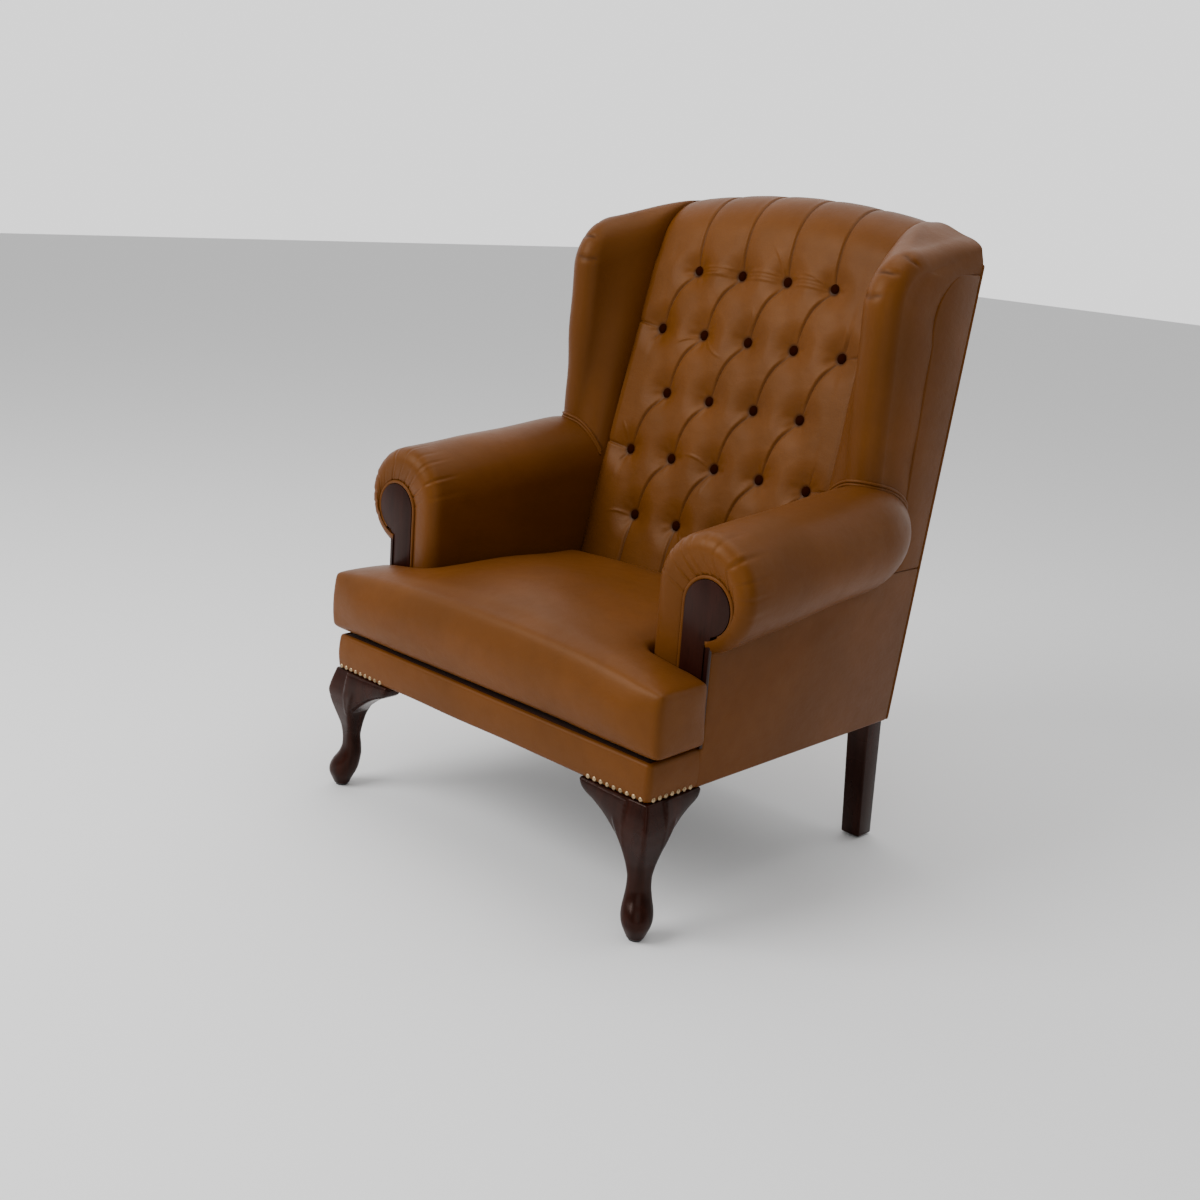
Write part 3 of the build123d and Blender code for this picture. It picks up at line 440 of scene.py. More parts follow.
# A domed stud on every point, standing along its "outward" vector
def studTree(segments, rings):
    made = Growth("studs", "Radius", "Height")
    radius, height = made.given["Radius"], made.given["Height"]
    ball = made.shape("MeshUVSphere", Segments=segments, Rings=rings, Radius=1.0)
    size = made.node("ShaderNodeCombineXYZ", None, {0: radius, 1: radius, 2: height})
    stud = made.shape("SetShadeSmooth", Geometry=made.shape("Transform", Geometry=ball, Scale=size))
    outward = made.shape("InputNamedAttribute", {"data_type": "FLOAT_VECTOR"}, Name="outward")
    turn = made.node("FunctionNodeAlignRotationToVector", {"axis": "Z"}, {"Vector": outward})
    return made.close(made.shape("InstanceOnPoints", Points=made.given["Geometry"], Instance=stud, Rotation=turn))


# A round welt along a path of points
def weltTree():
    made = Growth("welt", "Radius", "Step")
    path = made.shape("MeshToCurve", Mesh=made.given["Geometry"])
    even = made.shape("ResampleCurve", {"mode": "LENGTH"}, Curve=path, Length=made.given["Step"])
    ring = made.shape("CurvePrimitiveCircle", Resolution=14, Radius=made.given["Radius"])
    tube = made.shape("CurveToMesh", Curve=even, Profile_Curve=ring, Fill_Caps=True)
    return made.close(made.shape("SetShadeSmooth", Geometry=tube))


def runTree(piece, tree, **values):
    grow = piece.modifiers.new("Grow", "NODES")
    grow.node_group = tree
    for item in tree.interface.items_tree:
        if item.in_out == "INPUT" and item.name in values:
            grow[item.identifier] = values[item.name]
    bakeModifiers(piece)


def studs(name, points, outward, tree, **values):
    mesh = newMesh(name + "Spots", points)
    stand = mesh.attributes.new("outward", "FLOAT_VECTOR", "POINT")
    stand.data.foreach_set("vector", np.array(outward, float).ravel())
    piece = addObject(name, mesh)
    runTree(piece, tree, **values)
    return piece


def weltPiece(name, paths, radius, step):
    spots, edges = [], []
    for path in paths:
        edges += [(len(spots) + k, len(spots) + k + 1) for k in range(len(path) - 1)]
        spots += [tuple(p) for p in path]
    piece = addObject(name, newMesh(name + "Path", spots, edges))
    runTree(piece, welting, Radius=radius, Step=step, Finish=leather)
    return piece


welting = weltTree()


# Buttoned back
# pleatShadeStrength, edgeShadeStrength and wellShadeReach set the painted shade in the pleats, the edge folds and the
# button wells
back = {
    "crown": 0.0135, "lowCrown": 0.013, "bow": 0.085, "step": 0.0019, "low": 0.300, "fill": 0.75, "wrinkle": 0.0004,
    "crease": 0.0024, "slope": 0.019, "flap": 0.0007, "wellIn": 0.008, "wellOut": 0.060, "seam": 0.012, "edge": 0.9,
    "diamondPleat": (0.25, 0.12), "topPleat": (0.2, 0.12), "faintPleat": 0.07, "topBlend": 0.085,
    "pleatShadeStrength": 0.52, "edgeShadeStrength": 0.4, "wellShadeReach": 0.0122, "buttonR": 0.0104, "buttonHeight": 0.006,
    "buttonSunk": 0.002, "pleatLine": 0.0013, "topLine": 0.0012, "edgeLine": 0.0011,
    "tensionLines": (-0.006, 0.001, 0.008), "tensionHeight": (0.0008, 0.0017), "tensionWidth": 0.0026,
    "slackFolds": 16, "foldAway": 0.034, "foldHeight": 0.0013, "foldLength": (0.018, 0.034), "foldWidth": 0.0024,
}


def buttonPlaces():
    places = []
    for row in range(rows):
        count = wideRow - 1 if row % 2 == 0 else wideRow
        for k in range(count):
            places.append(((k - (count - 1) / 2) * buttonPitch, row * rowPitch))
    return places


# Share of the height left beside a pleat: a narrow crease in a slack valley, one side lapped over the other
def pleatShare(gap, narrow, broad):
    lap = np.tanh(gap / 0.001) * bell(gap, 0.009) * back["flap"] / back["crown"]
    return 1 - narrow * bell(gap, back["crease"]) - broad * bell(gap, back["slope"]) - lap


# Height of the leather above the button plane, and the painted shade that darkens its pleats and button wells
def tuftHeight(u, v):
    top = (rows - 1) * rowPitch
    density = hypot(1 / buttonPitch, 0.5 / rowPitch)
    half = (np.clip(v, 0, top) / rowPitch + 1) / 2
    along = u / buttonPitch + half
    across = u / buttonPitch - half + back["bow"] * np.sin(pi * along) ** 2
    strong = (across - np.round(across)) / density        # metres from the rising pleats
    faint = (along - np.round(along)) / density           # and from the falling ones
    straight = ((u / buttonPitch - 0.5) - np.round(u / buttonPitch - 0.5)) * buttonPitch
    crown = np.where(v > top, topCrown, back["lowCrown"])
    blend = smoothStep(0.0, back["topBlend"], np.maximum(v - top, -v))
    diamonds = back["crown"] * pleatShare(strong, *back["diamondPleat"])
    diamonds = diamonds * (1 - back["faintPleat"] * bell(faint, back["slope"]))
    height = diamonds * (1 - blend) + crown * pleatShare(straight, *back["topPleat"]) * blend
    # painted shade along the pleat lines
    pleatShade = bell(strong, back["pleatLine"]) * (1 - blend) + bell(straight, back["topLine"]) * blend
    last = (wideRow - 1) / 2 * buttonPitch
    outer = smoothStep(last + 0.003, last + 0.018, np.abs(u)) * (1 - blend)
    height = height * (1 - outer) + back["crown"] * outer
    pleatShade = back["pleatShadeStrength"] * pleatShade * (1 - outer)
    for row in range(1, rows, 2):                                     # from the outermost buttons to the edge
        gap = v - row * rowPitch - 0.12 * (np.abs(u) - last)
        height = height * (1 - outer * (1 - pleatShare(gap, *back["diamondPleat"])))
        pleatShade = np.maximum(pleatShade, back["edgeShadeStrength"] * outer * bell(gap, back["edgeLine"]))
    for k, (bu, bv) in enumerate(buttonPlaces()):
        du, dv = u - bu, v - bv
        reach, turn = np.sqrt(du * du + dv * dv), np.arctan2(dv, du)
        spokes = np.cos(5 * turn + k * 1.7) + 0.6 * np.cos(8 * turn + k * 2.9)
        climb = np.clip((reach - back["wellIn"]) / (back["wellOut"] - back["wellIn"]), 0, 1)
        height = height * climb * (2 - climb)
        height = height + back["wrinkle"] * spokes * bell(reach - 0.022, 0.009)
        # painted shade in the well round each button
        pleatShade = np.maximum(pleatShade, bell(reach, back["wellShadeReach"], 6))
    rng = np.random.default_rng(5)
    for side in (-1, 0, 1):                                           # tension lines between the top buttons
        window = bell(u - side * buttonPitch, 0.036, 4)
        for shift in back["tensionLines"]:
            line = v - top - shift - 0.004 * np.cos(pi * (u - side * buttonPitch) / buttonPitch)
            height = height + rng.uniform(*back["tensionHeight"]) * window * bell(line, back["tensionWidth"])
    for _ in range(back["slackFolds"]):                               # short slack folds beside some buttons
        bu, bv = buttonPlaces()[rng.integers(len(buttonPlaces()))]
        turn, size = rng.uniform(0, 2 * pi), rng.uniform(*back["foldLength"])
        du, dv = u - bu - back["foldAway"] * cos(turn), v - bv - back["foldAway"] * sin(turn)
        lengthwise = du * cos(turn) + dv * sin(turn)
        sideways = dv * cos(turn) - du * sin(turn) - 6.0 * lengthwise ** 2
        height = height + back["foldHeight"] * bell(lengthwise, size, 4) * bell(sideways, back["foldWidth"])
    edge = smoothStep(0.0, 1.0, (backHalf - np.abs(u)) / back["seam"])
    return height * (back["edge"] + (1 - back["edge"]) * edge), np.clip(pleatShade * edge, 0, 1)


def topRound():
    reach = rearY(topHeight) + topCrown / cos(lean) - faceY(topHeight)
    return reach / (1 / cos(lean) - tan(lean) + tan(rearLean))


def topCentre():
    z = topHeight - topRound()
    return rearY(z), z


def makeBack():
    radius = topRound() - topCrown
    centre = topCentre()
    vLow = (back["low"] - rowZ) / cos(lean)
    vRoll = (centre[1] + radius * sin(lean) - rowZ) / cos(lean)
    u = np.linspace(-backHalf, backHalf, int(2 * backHalf / back["step"]))
    under = np.linspace(backHalf, -backHalf, 24)
    fall = topArch / cos(lean)
    flat = [(v, (rowY + v * sin(lean), rowZ + v * cos(lean)), lean, padDepth)
            for v in np.linspace(vLow, vRoll, int((vRoll - vLow) / back["step"]))]
    turns = np.linspace(lean, pi / 2 + rearLean, int(radius * (pi / 2 + rearLean - lean) / back["step"]))[1:]
    crest = crestTop + 0.001 - centre[1]
    rolled = []
    for angle in turns:
        inner = min((radius - padDepth) / cos(angle - lean), crest / sin(angle))
        rolled.append((vRoll + radius * (angle - lean), (centre[0] - radius * cos(angle),
                       centre[1] + radius * sin(angle)), angle, radius - inner))
    rings, shadeMarks = [], []
    for v, base, angle, depth in flat + rolled:
        arch = float(smoothStep(vRoll - 0.12, vRoll, v)) * fall
        way = np.array([-cos(angle), sin(angle)])
        slope = np.array([-sin(lean), -cos(lean)])
        height, pleatShade = tuftHeight(u, np.full_like(u, v))
        front = np.array(base) + height[:, None] * way + (arch * (u / backHalf) ** 2)[:, None] * slope
        rear = np.array(base) - depth * way + (arch * (under / backHalf) ** 2)[:, None] * slope
        rings.append(np.vstack([np.column_stack([u, front]), np.column_stack([under, rear])]))
        shadeMarks.append(np.concatenate([pleatShade, np.zeros_like(under)]))
    piece = ringPiece("buttonedBack", rings, 80)
    # the painted shade of pleats and wells goes on as a point attribute
    paintPleatShade(piece.data, np.concatenate(shadeMarks)[:len(piece.data.vertices)])
    upholster(piece, ["back_pad"])
    sunk = back["buttonSunk"] * cos(lean)
    spots = [(u, rowY + v * sin(lean) + sunk, rowZ + v * cos(lean)) for u, v in buttonPlaces()]
    # the buttons take the painted shade colour
    buttons = studs("backButtons", spots, [(0, -cos(lean), sin(lean))] * len(spots), studTree(24, 12),
                    Radius=back["buttonR"], Height=back["buttonHeight"], Finish=buttonLeather)
    settle(buttons, buttonLeather, ["back_buttons"])
    print("back made", len(piece.data.polygons))


makeBack()

# Rolled arms
arm = {
    "front": 0.112, "rollFront": 0.094, "rollRear": 0.090, "rollZ": 0.533, "rise": radians(5.6),
    "fullY": 0.490, "endY": 0.606, "nose": 0.024, "noseOut": 0.002, "low": 0.2764, "fill": 0.7,
    "facingIn": 0.332, "headR": 0.0445, "headZ": 0.516, "facingThick": 0.018, "facingLow": 0.2924, "weltR": 0.0035,
    "gathers": (165, 146, 128, 112, 93, 71, 44, 22, 4, -17, -38), "gatherDepth": 0.0028, "closing": 0.135,
    "facingShow": 0.007, "facingEdge": 0.0026, "pocket": 0.0055, "uneven": 0.0011,
}
headX = arm["facingIn"] + arm["headR"]
facingSide = halfWidth - 0.0005
wallPoints, rollPoints, sidePoints = 26, 190, 10
drawStep = 0.01


def armLine(y):
    return arm["rollZ"] + (y - arm["front"]) * tan(arm["rise"])


def rollRadius(y):
    return arm["rollFront"] + (arm["rollRear"] - arm["rollFront"]) * (y - arm["front"]) / (arm["endY"] - arm["front"])


# How far the roll has closed towards its middle line at its rounded rear end
def rollClosing(x, y):
    share = np.clip((y - arm["fullY"]) / arm["closing"], 0, 0.98)
    return (1 - np.sqrt(1 - share ** 2)) * smoothStep(0.33, 0.385, x)


# Height of the arm's surface above a point of the plan
def armTop(x, y):
    radius = rollRadius(y)
    across = x - seatHalf - radius
    rise = sqrt(max(radius * radius - across * across, 0.0))
    return armLine(y) + rise * float(1 - rollClosing(x, y))


# Height of the crease between the roll and the side panel
def armCrease(y):
    radius = rollRadius(y)
    across = halfWidth - seatHalf - radius
    return armLine(y) - sqrt(radius ** 2 - across ** 2) * float(1 - rollClosing(halfWidth, y))


# A closed section: up the inner wall, over the roll and down the side
def armSection(y, centreX, centreZ, radius, outer, low, bulge=1.0):
    angles = np.linspace(pi, -acos((outer - centreX) / radius), rollPoints)
    x = centreX + radius * np.cos(angles)
    z = centreZ + radius * np.sin(angles) * (1 - rollClosing(x, y))
    x = np.where(x > outer, outer + (x - outer) * bulge, x)
    wall = np.linspace(low, centreZ, wallPoints)[:-1]
    side = np.linspace(z[-1], low, sidePoints)[1:]
    ringX = np.concatenate([np.full_like(wall, centreX - radius), x, np.full_like(side, outer)])
    return np.column_stack([ringX, np.full_like(ringX, y), np.concatenate([wall, z, side])])


def armRing(y, inset=0.0, bulge=1.0):
    full = rollRadius(y)
    return armSection(y, seatHalf + full, armLine(y), full - inset, frameHalf, arm["low"], bulge)


# The arm's section with its leather drawn in, by a depth for each point
def drawnRing(y, depth):
    ring = armRing(y)
    return ring + (armRing(y, drawStep) - ring) * (depth / drawStep)[:, None]


def facingRing(y, gap, low, outer=facingSide):
    return armSection(y, headX, arm["headZ"], arm["headR"] + gap, outer, low)


# Short radial folds where the leather is drawn in round the facing
def gatherDepth(seed):
    rng = np.random.default_rng(seed)
    angles = np.linspace(180, -80, rollPoints)
    total = np.zeros(rollPoints)
    for spot in arm["gathers"]:
        width = rng.uniform(1.3, 2.6)
        gap = angles - spot - rng.uniform(-5, 5)
        fold = bell(gap, width) - 0.35 * bell(gap - 2.5 * width, width)
        total += rng.uniform(0.3, 1.0) * fold
    return np.concatenate([np.zeros(wallPoints - 1), total, np.zeros(sidePoints - 1)])


def makeArm(side, word):
    name, nose = word + "Arm", arm["nose"]
    folds = arm["gatherDepth"] * gatherDepth(11 if side > 0 else 23)
    tip = arm["front"] - arm["noseOut"]
    rim = armRing(tip, nose)
    pocket = facingRing(tip + arm["pocket"], 2 * arm["weltR"] - 0.0006, arm["low"], frameHalf)
    rings = [pocket + np.array([0, 0.012, 0])]
    for share in np.linspace(0, 1, 9)[:-1]:
        ring = pocket + (rim - pocket) * share
        ring[:, 1] = tip + arm["pocket"] * (1 - share) ** 2 + 0.8 * folds * (1 - share) ** 0.5
        rings.append(ring)
    for share in np.linspace(0, 1, 9):
        inset = nose * (1 - sin(share * pi / 2)) + folds * (1 - 0.5 * share)
        rings.append(drawnRing(tip + nose * (1 - cos(share * pi / 2)), inset))
    start = tip + nose
    for y in np.linspace(start, arm["fullY"], 60)[1:]:
        rings.append(drawnRing(y, folds * bell(y - start, 0.03) * 0.5))
    for share in np.sin(np.linspace(0, pi / 2, 16))[1:]:
        y = arm["fullY"] + (arm["endY"] - arm["fullY"]) * share
        rings.append(armRing(y, 0.0, max(sqrt(max(1 - share ** 2, 0)), 0.06)))
    rings = np.array(rings)
    rings[..., 0] *= side
    piece = ringPiece(name, rings, 75)
    spots = coordsOf(piece.data)
    behind = np.clip(spots[:, 1] - frontY - 0.16, 0, 0.1) / 0.1
    pushOut(piece.data, arm["uneven"] * drift(spots, 31 + side, 0.16) * behind)
    upholster(piece, ["arm_pad_" + word])
    edge = facingRing(arm["front"] + arm["weltR"], arm["weltR"], arm["facingLow"])
    path = edge[:wallPoints - 1 + int(rollPoints * 0.93)]
    path[:, 0] *= side
    upholster(weltPiece(name + "Welt", [path], arm["weltR"], 0.004), ["facing_welt_" + word])
    outlines = []
    show, thick = arm["facingShow"], arm["facingThick"]
    for depth, outer in ((0, facingSide), (show, facingSide), (show + fit, frameHalf), (thick, frameHalf)):
        ring = facingRing(arm["front"] + depth, -fit / 2, arm["facingLow"], outer)
        ring[:, 0] *= side
        keep = [0] + list(range(wallPoints - 1, len(ring) - sidePoints + 1, 4)) + [len(ring) - 1]
        outlines.append(ring[keep])
    facing = platePiece(name + "Facing", outlines, arm["facingEdge"])
    settle(facing, facingWood, ["arm_facing_" + word])


for side, word in sides:
    makeArm(side, word)
print("arms made")

# Wings and the seams of the outside panels
panel = {
    "edge": 0.0035, "seamLowY": 0.600, "seamHighY": 0.632, "seamHighZ": 0.900, "seamTopZ": 1.018, "sideSeamZ": 0.505,
    "tuck": 0.004,
}


def arcThrough(first, middle, last, count):
    a, b, c = (np.array(p, float) for p in (first, middle, last))
    m = 2 * np.array([b - a, c - a])
    centre = np.linalg.solve(m, [b @ b - a @ a, c @ c - a @ a])
    angles = [atan2(*(p - centre)[::-1]) for p in (a, b, c)]
    sweep = [(angles[k] - angles[0]) % (2 * pi) for k in (1, 2)]
    total = sweep[1] if sweep[0] < sweep[1] else sweep[1] - 2 * pi
    turns = angles[0] + total * np.linspace(0, 1, count)
    return centre + np.linalg.norm(a - centre) * unitCircle(turns)


# Seam between a wing and its outside panel, where it curves over to the rear
def wingSeam(count):
    topY = (panel["seamHighY"] + rearY(panel["seamTopZ"], cover + fit)) / 2
    middle = (panel["seamHighY"] + (topY - panel["seamHighY"]) * 0.25,
              panel["seamHighZ"] + (panel["seamTopZ"] - panel["seamHighZ"]) * 0.7)
    return arcThrough((panel["seamHighY"], panel["seamHighZ"]), middle, (topY, panel["seamTopZ"]), count)


wing = {
    "roll": 0.036, "y": 0.546, "arcY": 0.612, "arcZ": 0.955, "shoulder": 0.013,
    "lip": 0.012, "fill": 0.75, "bulge": 0.006, "swell": 0.0075,
    "pleats": ((0.1, 23, 0.0022), (0.38, 26, 0.003), (0.66, 29, 0.003)), "foldR": 0.0032, "under": 0.0125,
    # pleatShadeStrength: painted shade in the short folds over the top
    "uneven": 0.0011, "pleatShadeStrength": 0.6, "sunk": 0.002, "lowerFold": (0.0018, 0.0035), "upperFold": (0.0012, 0.0095),
    "flankAt": (0.2, 0.4, 0.62, 0.82, 0.95, 1.0, 1.04), "flankSwell": (0.42, 0.72, 0.92, 1.0, 0.98, 0.95, 0.8, 0.0),
}
wingX = frameHalf - wing["roll"]
wingPath = wing["arcY"] - wing["y"]
linePoints, arcPoints, crownPoints = 46, 34, 26
quarterTurn = unitCircle(np.linspace(pi, pi / 2, arcPoints))


def wingProfile(foot, corner, end):
    line = np.linspace(0, 1, linePoints)[:, None]
    foot, first = np.array(foot), corner[0]
    crown = np.linspace(0, 1, crownPoints)[1:, None]
    return np.vstack([foot + (first - foot) * line, corner[1:], corner[-1] + (np.array(end) - corner[-1]) * crown])


def innerProfile(foot, depth=0.0):
    x = seatHalf + 2 * fit
    slide = topArch / cos(lean)
    centre = np.array(topCentre()) - slide * np.array([sin(lean), cos(lean)])
    radius = topRound() - depth
    corner = centre + radius * unitCircle(np.linspace(pi - lean, pi / 2, arcPoints))
    top = centre[1] + radius * cos(rearLean)
    return x, wingProfile((faceY(foot, wing["lip"] - depth), foot), corner, (rearY(top) - 0.0005, top))


# The wing's line at a distance out from its wooden edge
def rollProfile(x, out, drop=0.0):
    corner = np.array([wing["arcY"], wing["arcZ"]]) + (wingPath + out) * quarterTurn
    top = topHeight - topArch * (x / backHalf) ** 2 - drop
    foot = armTop(x, wing["y"] - out) - wing["sunk"]
    return wingProfile((wing["y"] - out, foot), corner, (rearY(top) - 0.0005, top))


# Far edge of the wing's outer face, a little under the outside panel
def outerProfile(foot):
    curve = wingSeam(arcPoints)
    step = np.gradient(curve, axis=0)
    inward = np.column_stack([step[:, 1], -step[:, 0]]) / np.linalg.norm(step, axis=1, keepdims=True)
    curve = curve + wing["under"] * inward
    up = (foot - panel["sideSeamZ"]) / (panel["seamHighZ"] - panel["sideSeamZ"])
    start = panel["seamLowY"] + (panel["seamHighY"] - panel["seamLowY"]) * up + wing["under"]
    top = curve[-1, 1]
    return wingProfile((start, foot), curve, (rearY(top, cover + 0.002), top))


def makeWing(side, word):
    name, roll = word + "Wing", wing["roll"]
    rollTurns = np.linspace(pi, 0, 73)
    drop = lambda t: wing["shoulder"] * (1 - sin(t)) if t < pi / 2 else 0.0
    grid = np.array([rollProfile(wingX + roll * cos(t), roll * sin(t), drop(t)) for t in rollTurns])
    base = rollProfile(wingX, 0.0)
    outward = np.vstack([[(-1, 0)] * linePoints, quarterTurn[1:], [(0, 1)] * (crownPoints - 1)])
    stretch = np.linalg.norm(grid[36] - base, axis=1) / roll
    edgeX, edge = innerProfile(armTop(seatHalf + 0.002, faceY(0.6)) - wing["sunk"])
    outer = outerProfile(armTop(frameHalf, panel["seamLowY"]) - wing["sunk"])
    deep = innerProfile(edge[0, 1], padDepth - 0.004)[1]
    rings = []
    for k in range(len(edge)):
        behind = (edge[k] - base[k]) @ outward[k] / max(stretch[k], 0.15)
        away = edgeX - wingX
        toward = atan2(behind, away) % (2 * pi)
        start = min(max(toward - acos(roll / hypot(away, behind)), pi / 2), pi)
        angles = np.linspace(start, 0, 30)
        front = np.column_stack([wingX + roll * np.cos(angles)]
                                + [np.interp(-angles, -rollTurns, grid[:, k, axis]) for axis in (0, 1)])
        first = np.array([edgeX, *edge[k]])
        chord = front[0] - first
        forward = chord[1:] @ outward[k]
        share = np.linspace(0, 1, 15)[:-1, None]
        puff = wing["bulge"] * 6.75 * share * (1 - share) ** 2
        normal = np.array([-forward, *(chord[0] * outward[k])]) / hypot(chord[0], forward)
        face = first + chord * share + normal * puff
        last = np.array([frameHalf - 0.0006, *outer[k]])
        under = 1 - wing["under"] / max(np.linalg.norm(last - front[-1]), 0.03)
        share = np.array([*wing["flankAt"], 1 / under])[:, None] * under
        flank = front[-1] + (last - front[-1]) * share
        flank[:, 0] += wing["swell"] * np.array(wing["flankSwell"])
        inside = [(frameHalf - 0.04, *outer[k]), (edgeX, *deep[k])]
        rings.append(np.vstack([face, front, flank, inside]))
    rings = np.array(rings)
    outside = rings.shape[1] - 2
    level = 1 - np.linspace(0, 1, linePoints)
    for row in list(range(1, 14)) + list(range(44, outside)):         # feet of both faces follow the arm
        x, y, z = rings[0, row]
        rings[:linePoints, row, 2] += (armTop(x, y) - wing["sunk"] - z) * level
    push, paintedShade = np.zeros(rings.shape[:2]), np.zeros(rings.shape[:2])
    for turnShare, middle, depth in wing["pleats"]:                   # short folds where the leather turns over the top, darkened with painted shade
        row = np.arange(outside + 2)
        gap = np.arange(len(edge))[:, None] - linePoints - turnShare * arcPoints - 0.02 * (row - middle) ** 2
        across = bell(row - middle, 6.5, 4)
        push += depth * across * bell(gap, 0.9)
        paintedShade += wing["pleatShadeStrength"] * across * bell(gap, 0.6)
    rings[..., 0] *= side
    piece = ringPiece(name, rings, 75)
    spots = coordsOf(piece.data)
    share = smoothStep(1.035, 1.06, spots[:, 2:]) * smoothStep(0.272, 0.286, np.abs(spots[:, :1]))
    relax(piece.data, 14, 0.5, share)
    spots = coordsOf(piece.data)
    pushOut(piece.data, wing["uneven"] * drift(spots, 51 + side, 0.14) - push.ravel()[:len(spots)])
    # the folds' painted shade goes on as a point attribute
    paintPleatShade(piece.data, paintedShade.ravel()[:len(spots)])
    upholster(piece, ["wing_pad_" + word])
    foot = rings[0, 1:outside]
    step = np.gradient(foot[:, :2], axis=0)
    ahead = np.column_stack([step[:, 1], -step[:, 0], np.zeros(len(foot))]) * side
    ahead /= np.maximum(np.linalg.norm(ahead, axis=1, keepdims=True), 1e-9)
    folds = [foot + out * ahead + np.array([0, 0, up]) for out, up in (wing["lowerFold"], wing["upperFold"])]
    upholster(weltPiece(name + "Folds", folds, wing["foldR"], 0.005))


for side, word in sides:
    makeWing(side, word)
print("wings made")


# Outside panels, the outside back and the band
def sidePlate(name, outline, side, node):
    outline = np.array(outline, float)
    faces = [np.column_stack([np.full(len(outline), side * x), outline]) for x in (halfWidth - cover, halfWidth)]
    upholster(platePiece(name, faces, panel["edge"]), [node])


def makePanels():
    rear = lambda z: rearY(z, cover + fit)
    low, seam = legHeight, panel["sideSeamZ"]
    front, behind = arm["front"] + fit, arm["front"] + arm["facingShow"] + 2 * fit
    last = panel["seamLowY"] - 2 * fit
    crease = [(y, armCrease(y) + panel["tuck"]) for y in np.linspace(behind, last, 18)]
    armOutline = [(rear(seam), seam), (rear(low), low), (front, low), (front, chair["bandTop"]),
                  (behind, chair["bandTop"])] + crease + [(last, seam)]
    wingOutline = [(panel["seamLowY"], seam + fit)] + [tuple(p) for p in wingSeam(14)]
    wingOutline += [(rear(panel["seamTopZ"]), panel["seamTopZ"]), (rear(seam), seam + fit)]
    for side, word in sides:
        sidePlate(word + "OutsideArm", armOutline, side, "outside_arm_" + word)
        sidePlate(word + "OutsideWing", wingOutline, side, "outside_wing_" + word)
    ends = crestTop - topArch * (halfWidth / backHalf) ** 2
    arch = arcThrough((halfWidth, ends), (0, crestTop), (-halfWidth, ends), 40)
    outline = np.vstack([[(-halfWidth, low), (halfWidth, low)], arch])
    skin = lambda depth: np.array([(x, rearY(z, depth), z) for x, z in outline])
    upholster(platePiece("outsideBack", [skin(cover), skin(0.0)], panel["edge"]), ["outside_back"])


makePanels()

band = {"corner": 0.010, "puff": 0.0022, "edge": 0.0072, "returnY": 0.112, "uneven": 0.0006}


def makeBand():
    half, corner = halfWidth, band["corner"]
    turns = np.linspace(0, -pi / 2, 7)
    bend = [(half - corner + corner * cos(t), corner + corner * sin(t)) for t in turns]
    right = [(half, band["returnY"]), (half, 0.06)] + bend
    front = [(x, 0.0) for x in np.linspace(half - corner, -half + corner, 30)[1:-1]]
    path = np.array(right + front + [(-x, y) for x, y in right[::-1]])
    step = np.gradient(path, axis=0)
    outward = np.column_stack([-step[:, 1], step[:, 0]])
    outward /= np.linalg.norm(outward, axis=1, keepdims=True)
    low, high, e = legHeight, chair["bandTop"], band["edge"]
    turn = np.linspace(0, pi / 2, 5)
    profile = [(-e + e * cos(t), high - e + e * sin(t)) for t in turn]
    inner = [(-cover, high), (-cover, low)]
    foot = [(-e + e * sin(t), low + e - e * cos(t)) for t in turn]
    face = [(band["puff"] * sin(pi * s), low + e + (high - low - 2 * e) * s)
            for s in np.linspace(0, 1, 9)[1:-1]]
    section = np.array(profile + inner + foot + face)
    rings = [[(spot[0] + way[0] * out, spot[1] + way[1] * out, z) for out, z in section]
             for spot, way in zip(path, outward)]
    piece = ringPiece("frontBand", rings, 60)
    pushOut(piece.data, band["uneven"] * drift(coordsOf(piece.data), 71, 0.2))
    upholster(piece, ["front_band"])


makeBand()
print("panels made")

# Brass nails along the band above the front legs
nails = {"radius": 0.0044, "height": 0.0028, "pitch": 0.014, "lift": 0.0055, "sunk": 0.0005, "frontReach": 0.144,
         "sideReach": 0.112}


def makeNails():
    pitch, sunk, z = nails["pitch"], nails["sunk"], legHeight + nails["lift"]
    spots, outward = [], []
    for side in (-1, 1):
        for k in range(1, int((nails["frontReach"] - 2 * pitch) / pitch) + 2):
            spots.append((side * (halfWidth - k * pitch), sunk, z))
            outward.append((0, -1, 0))
        for k in range(1, int((nails["sideReach"] - 2 * pitch) / pitch) + 2):
            spots.append((side * (halfWidth - sunk), k * pitch, z))
            outward.append((side, 0, 0))
    piece = studs("brassNails", spots, outward, studTree(14, 8), Radius=nails["radius"], Height=nails["height"],
                  Finish=nailBrass)
    settle(piece, nailBrass, ["brass_nails"])


makeNails()

# Loose seat cushion and the platform under it
cushion = {
    "over": 0.012, "earOver": 0.020, "earBack": 0.108, "stem": 0.266, "low": 0.2924, "edge": 0.4074, "crown": 0.046,
    "backGap": 0.036, "voxel": 0.0055, "pressure": 3.0, "steps": 16, "limit": 0.006, "start": 0.004, "fill": 0.85,
    "lift": 0.007, "rim": 0.026, "uneven": 0.0012,
}


def teePlan(wide, front, ear, stem, rear, snug=0.03):
    turns = np.linspace(-pi / 2, -pi, 6)
    bend = [(stem + snug + snug * cos(t), ear + snug + snug * sin(t)) for t in turns]
    right = [(wide, front), (wide, ear)] + bend + [(stem, rear)]
    return right + [(-x, y) for x, y in right[::-1]]


def teePiece(name, plan, low, high):
    return ringPiece(name, [[(x, y, z) for x, y in plan] for z in (low, high)])


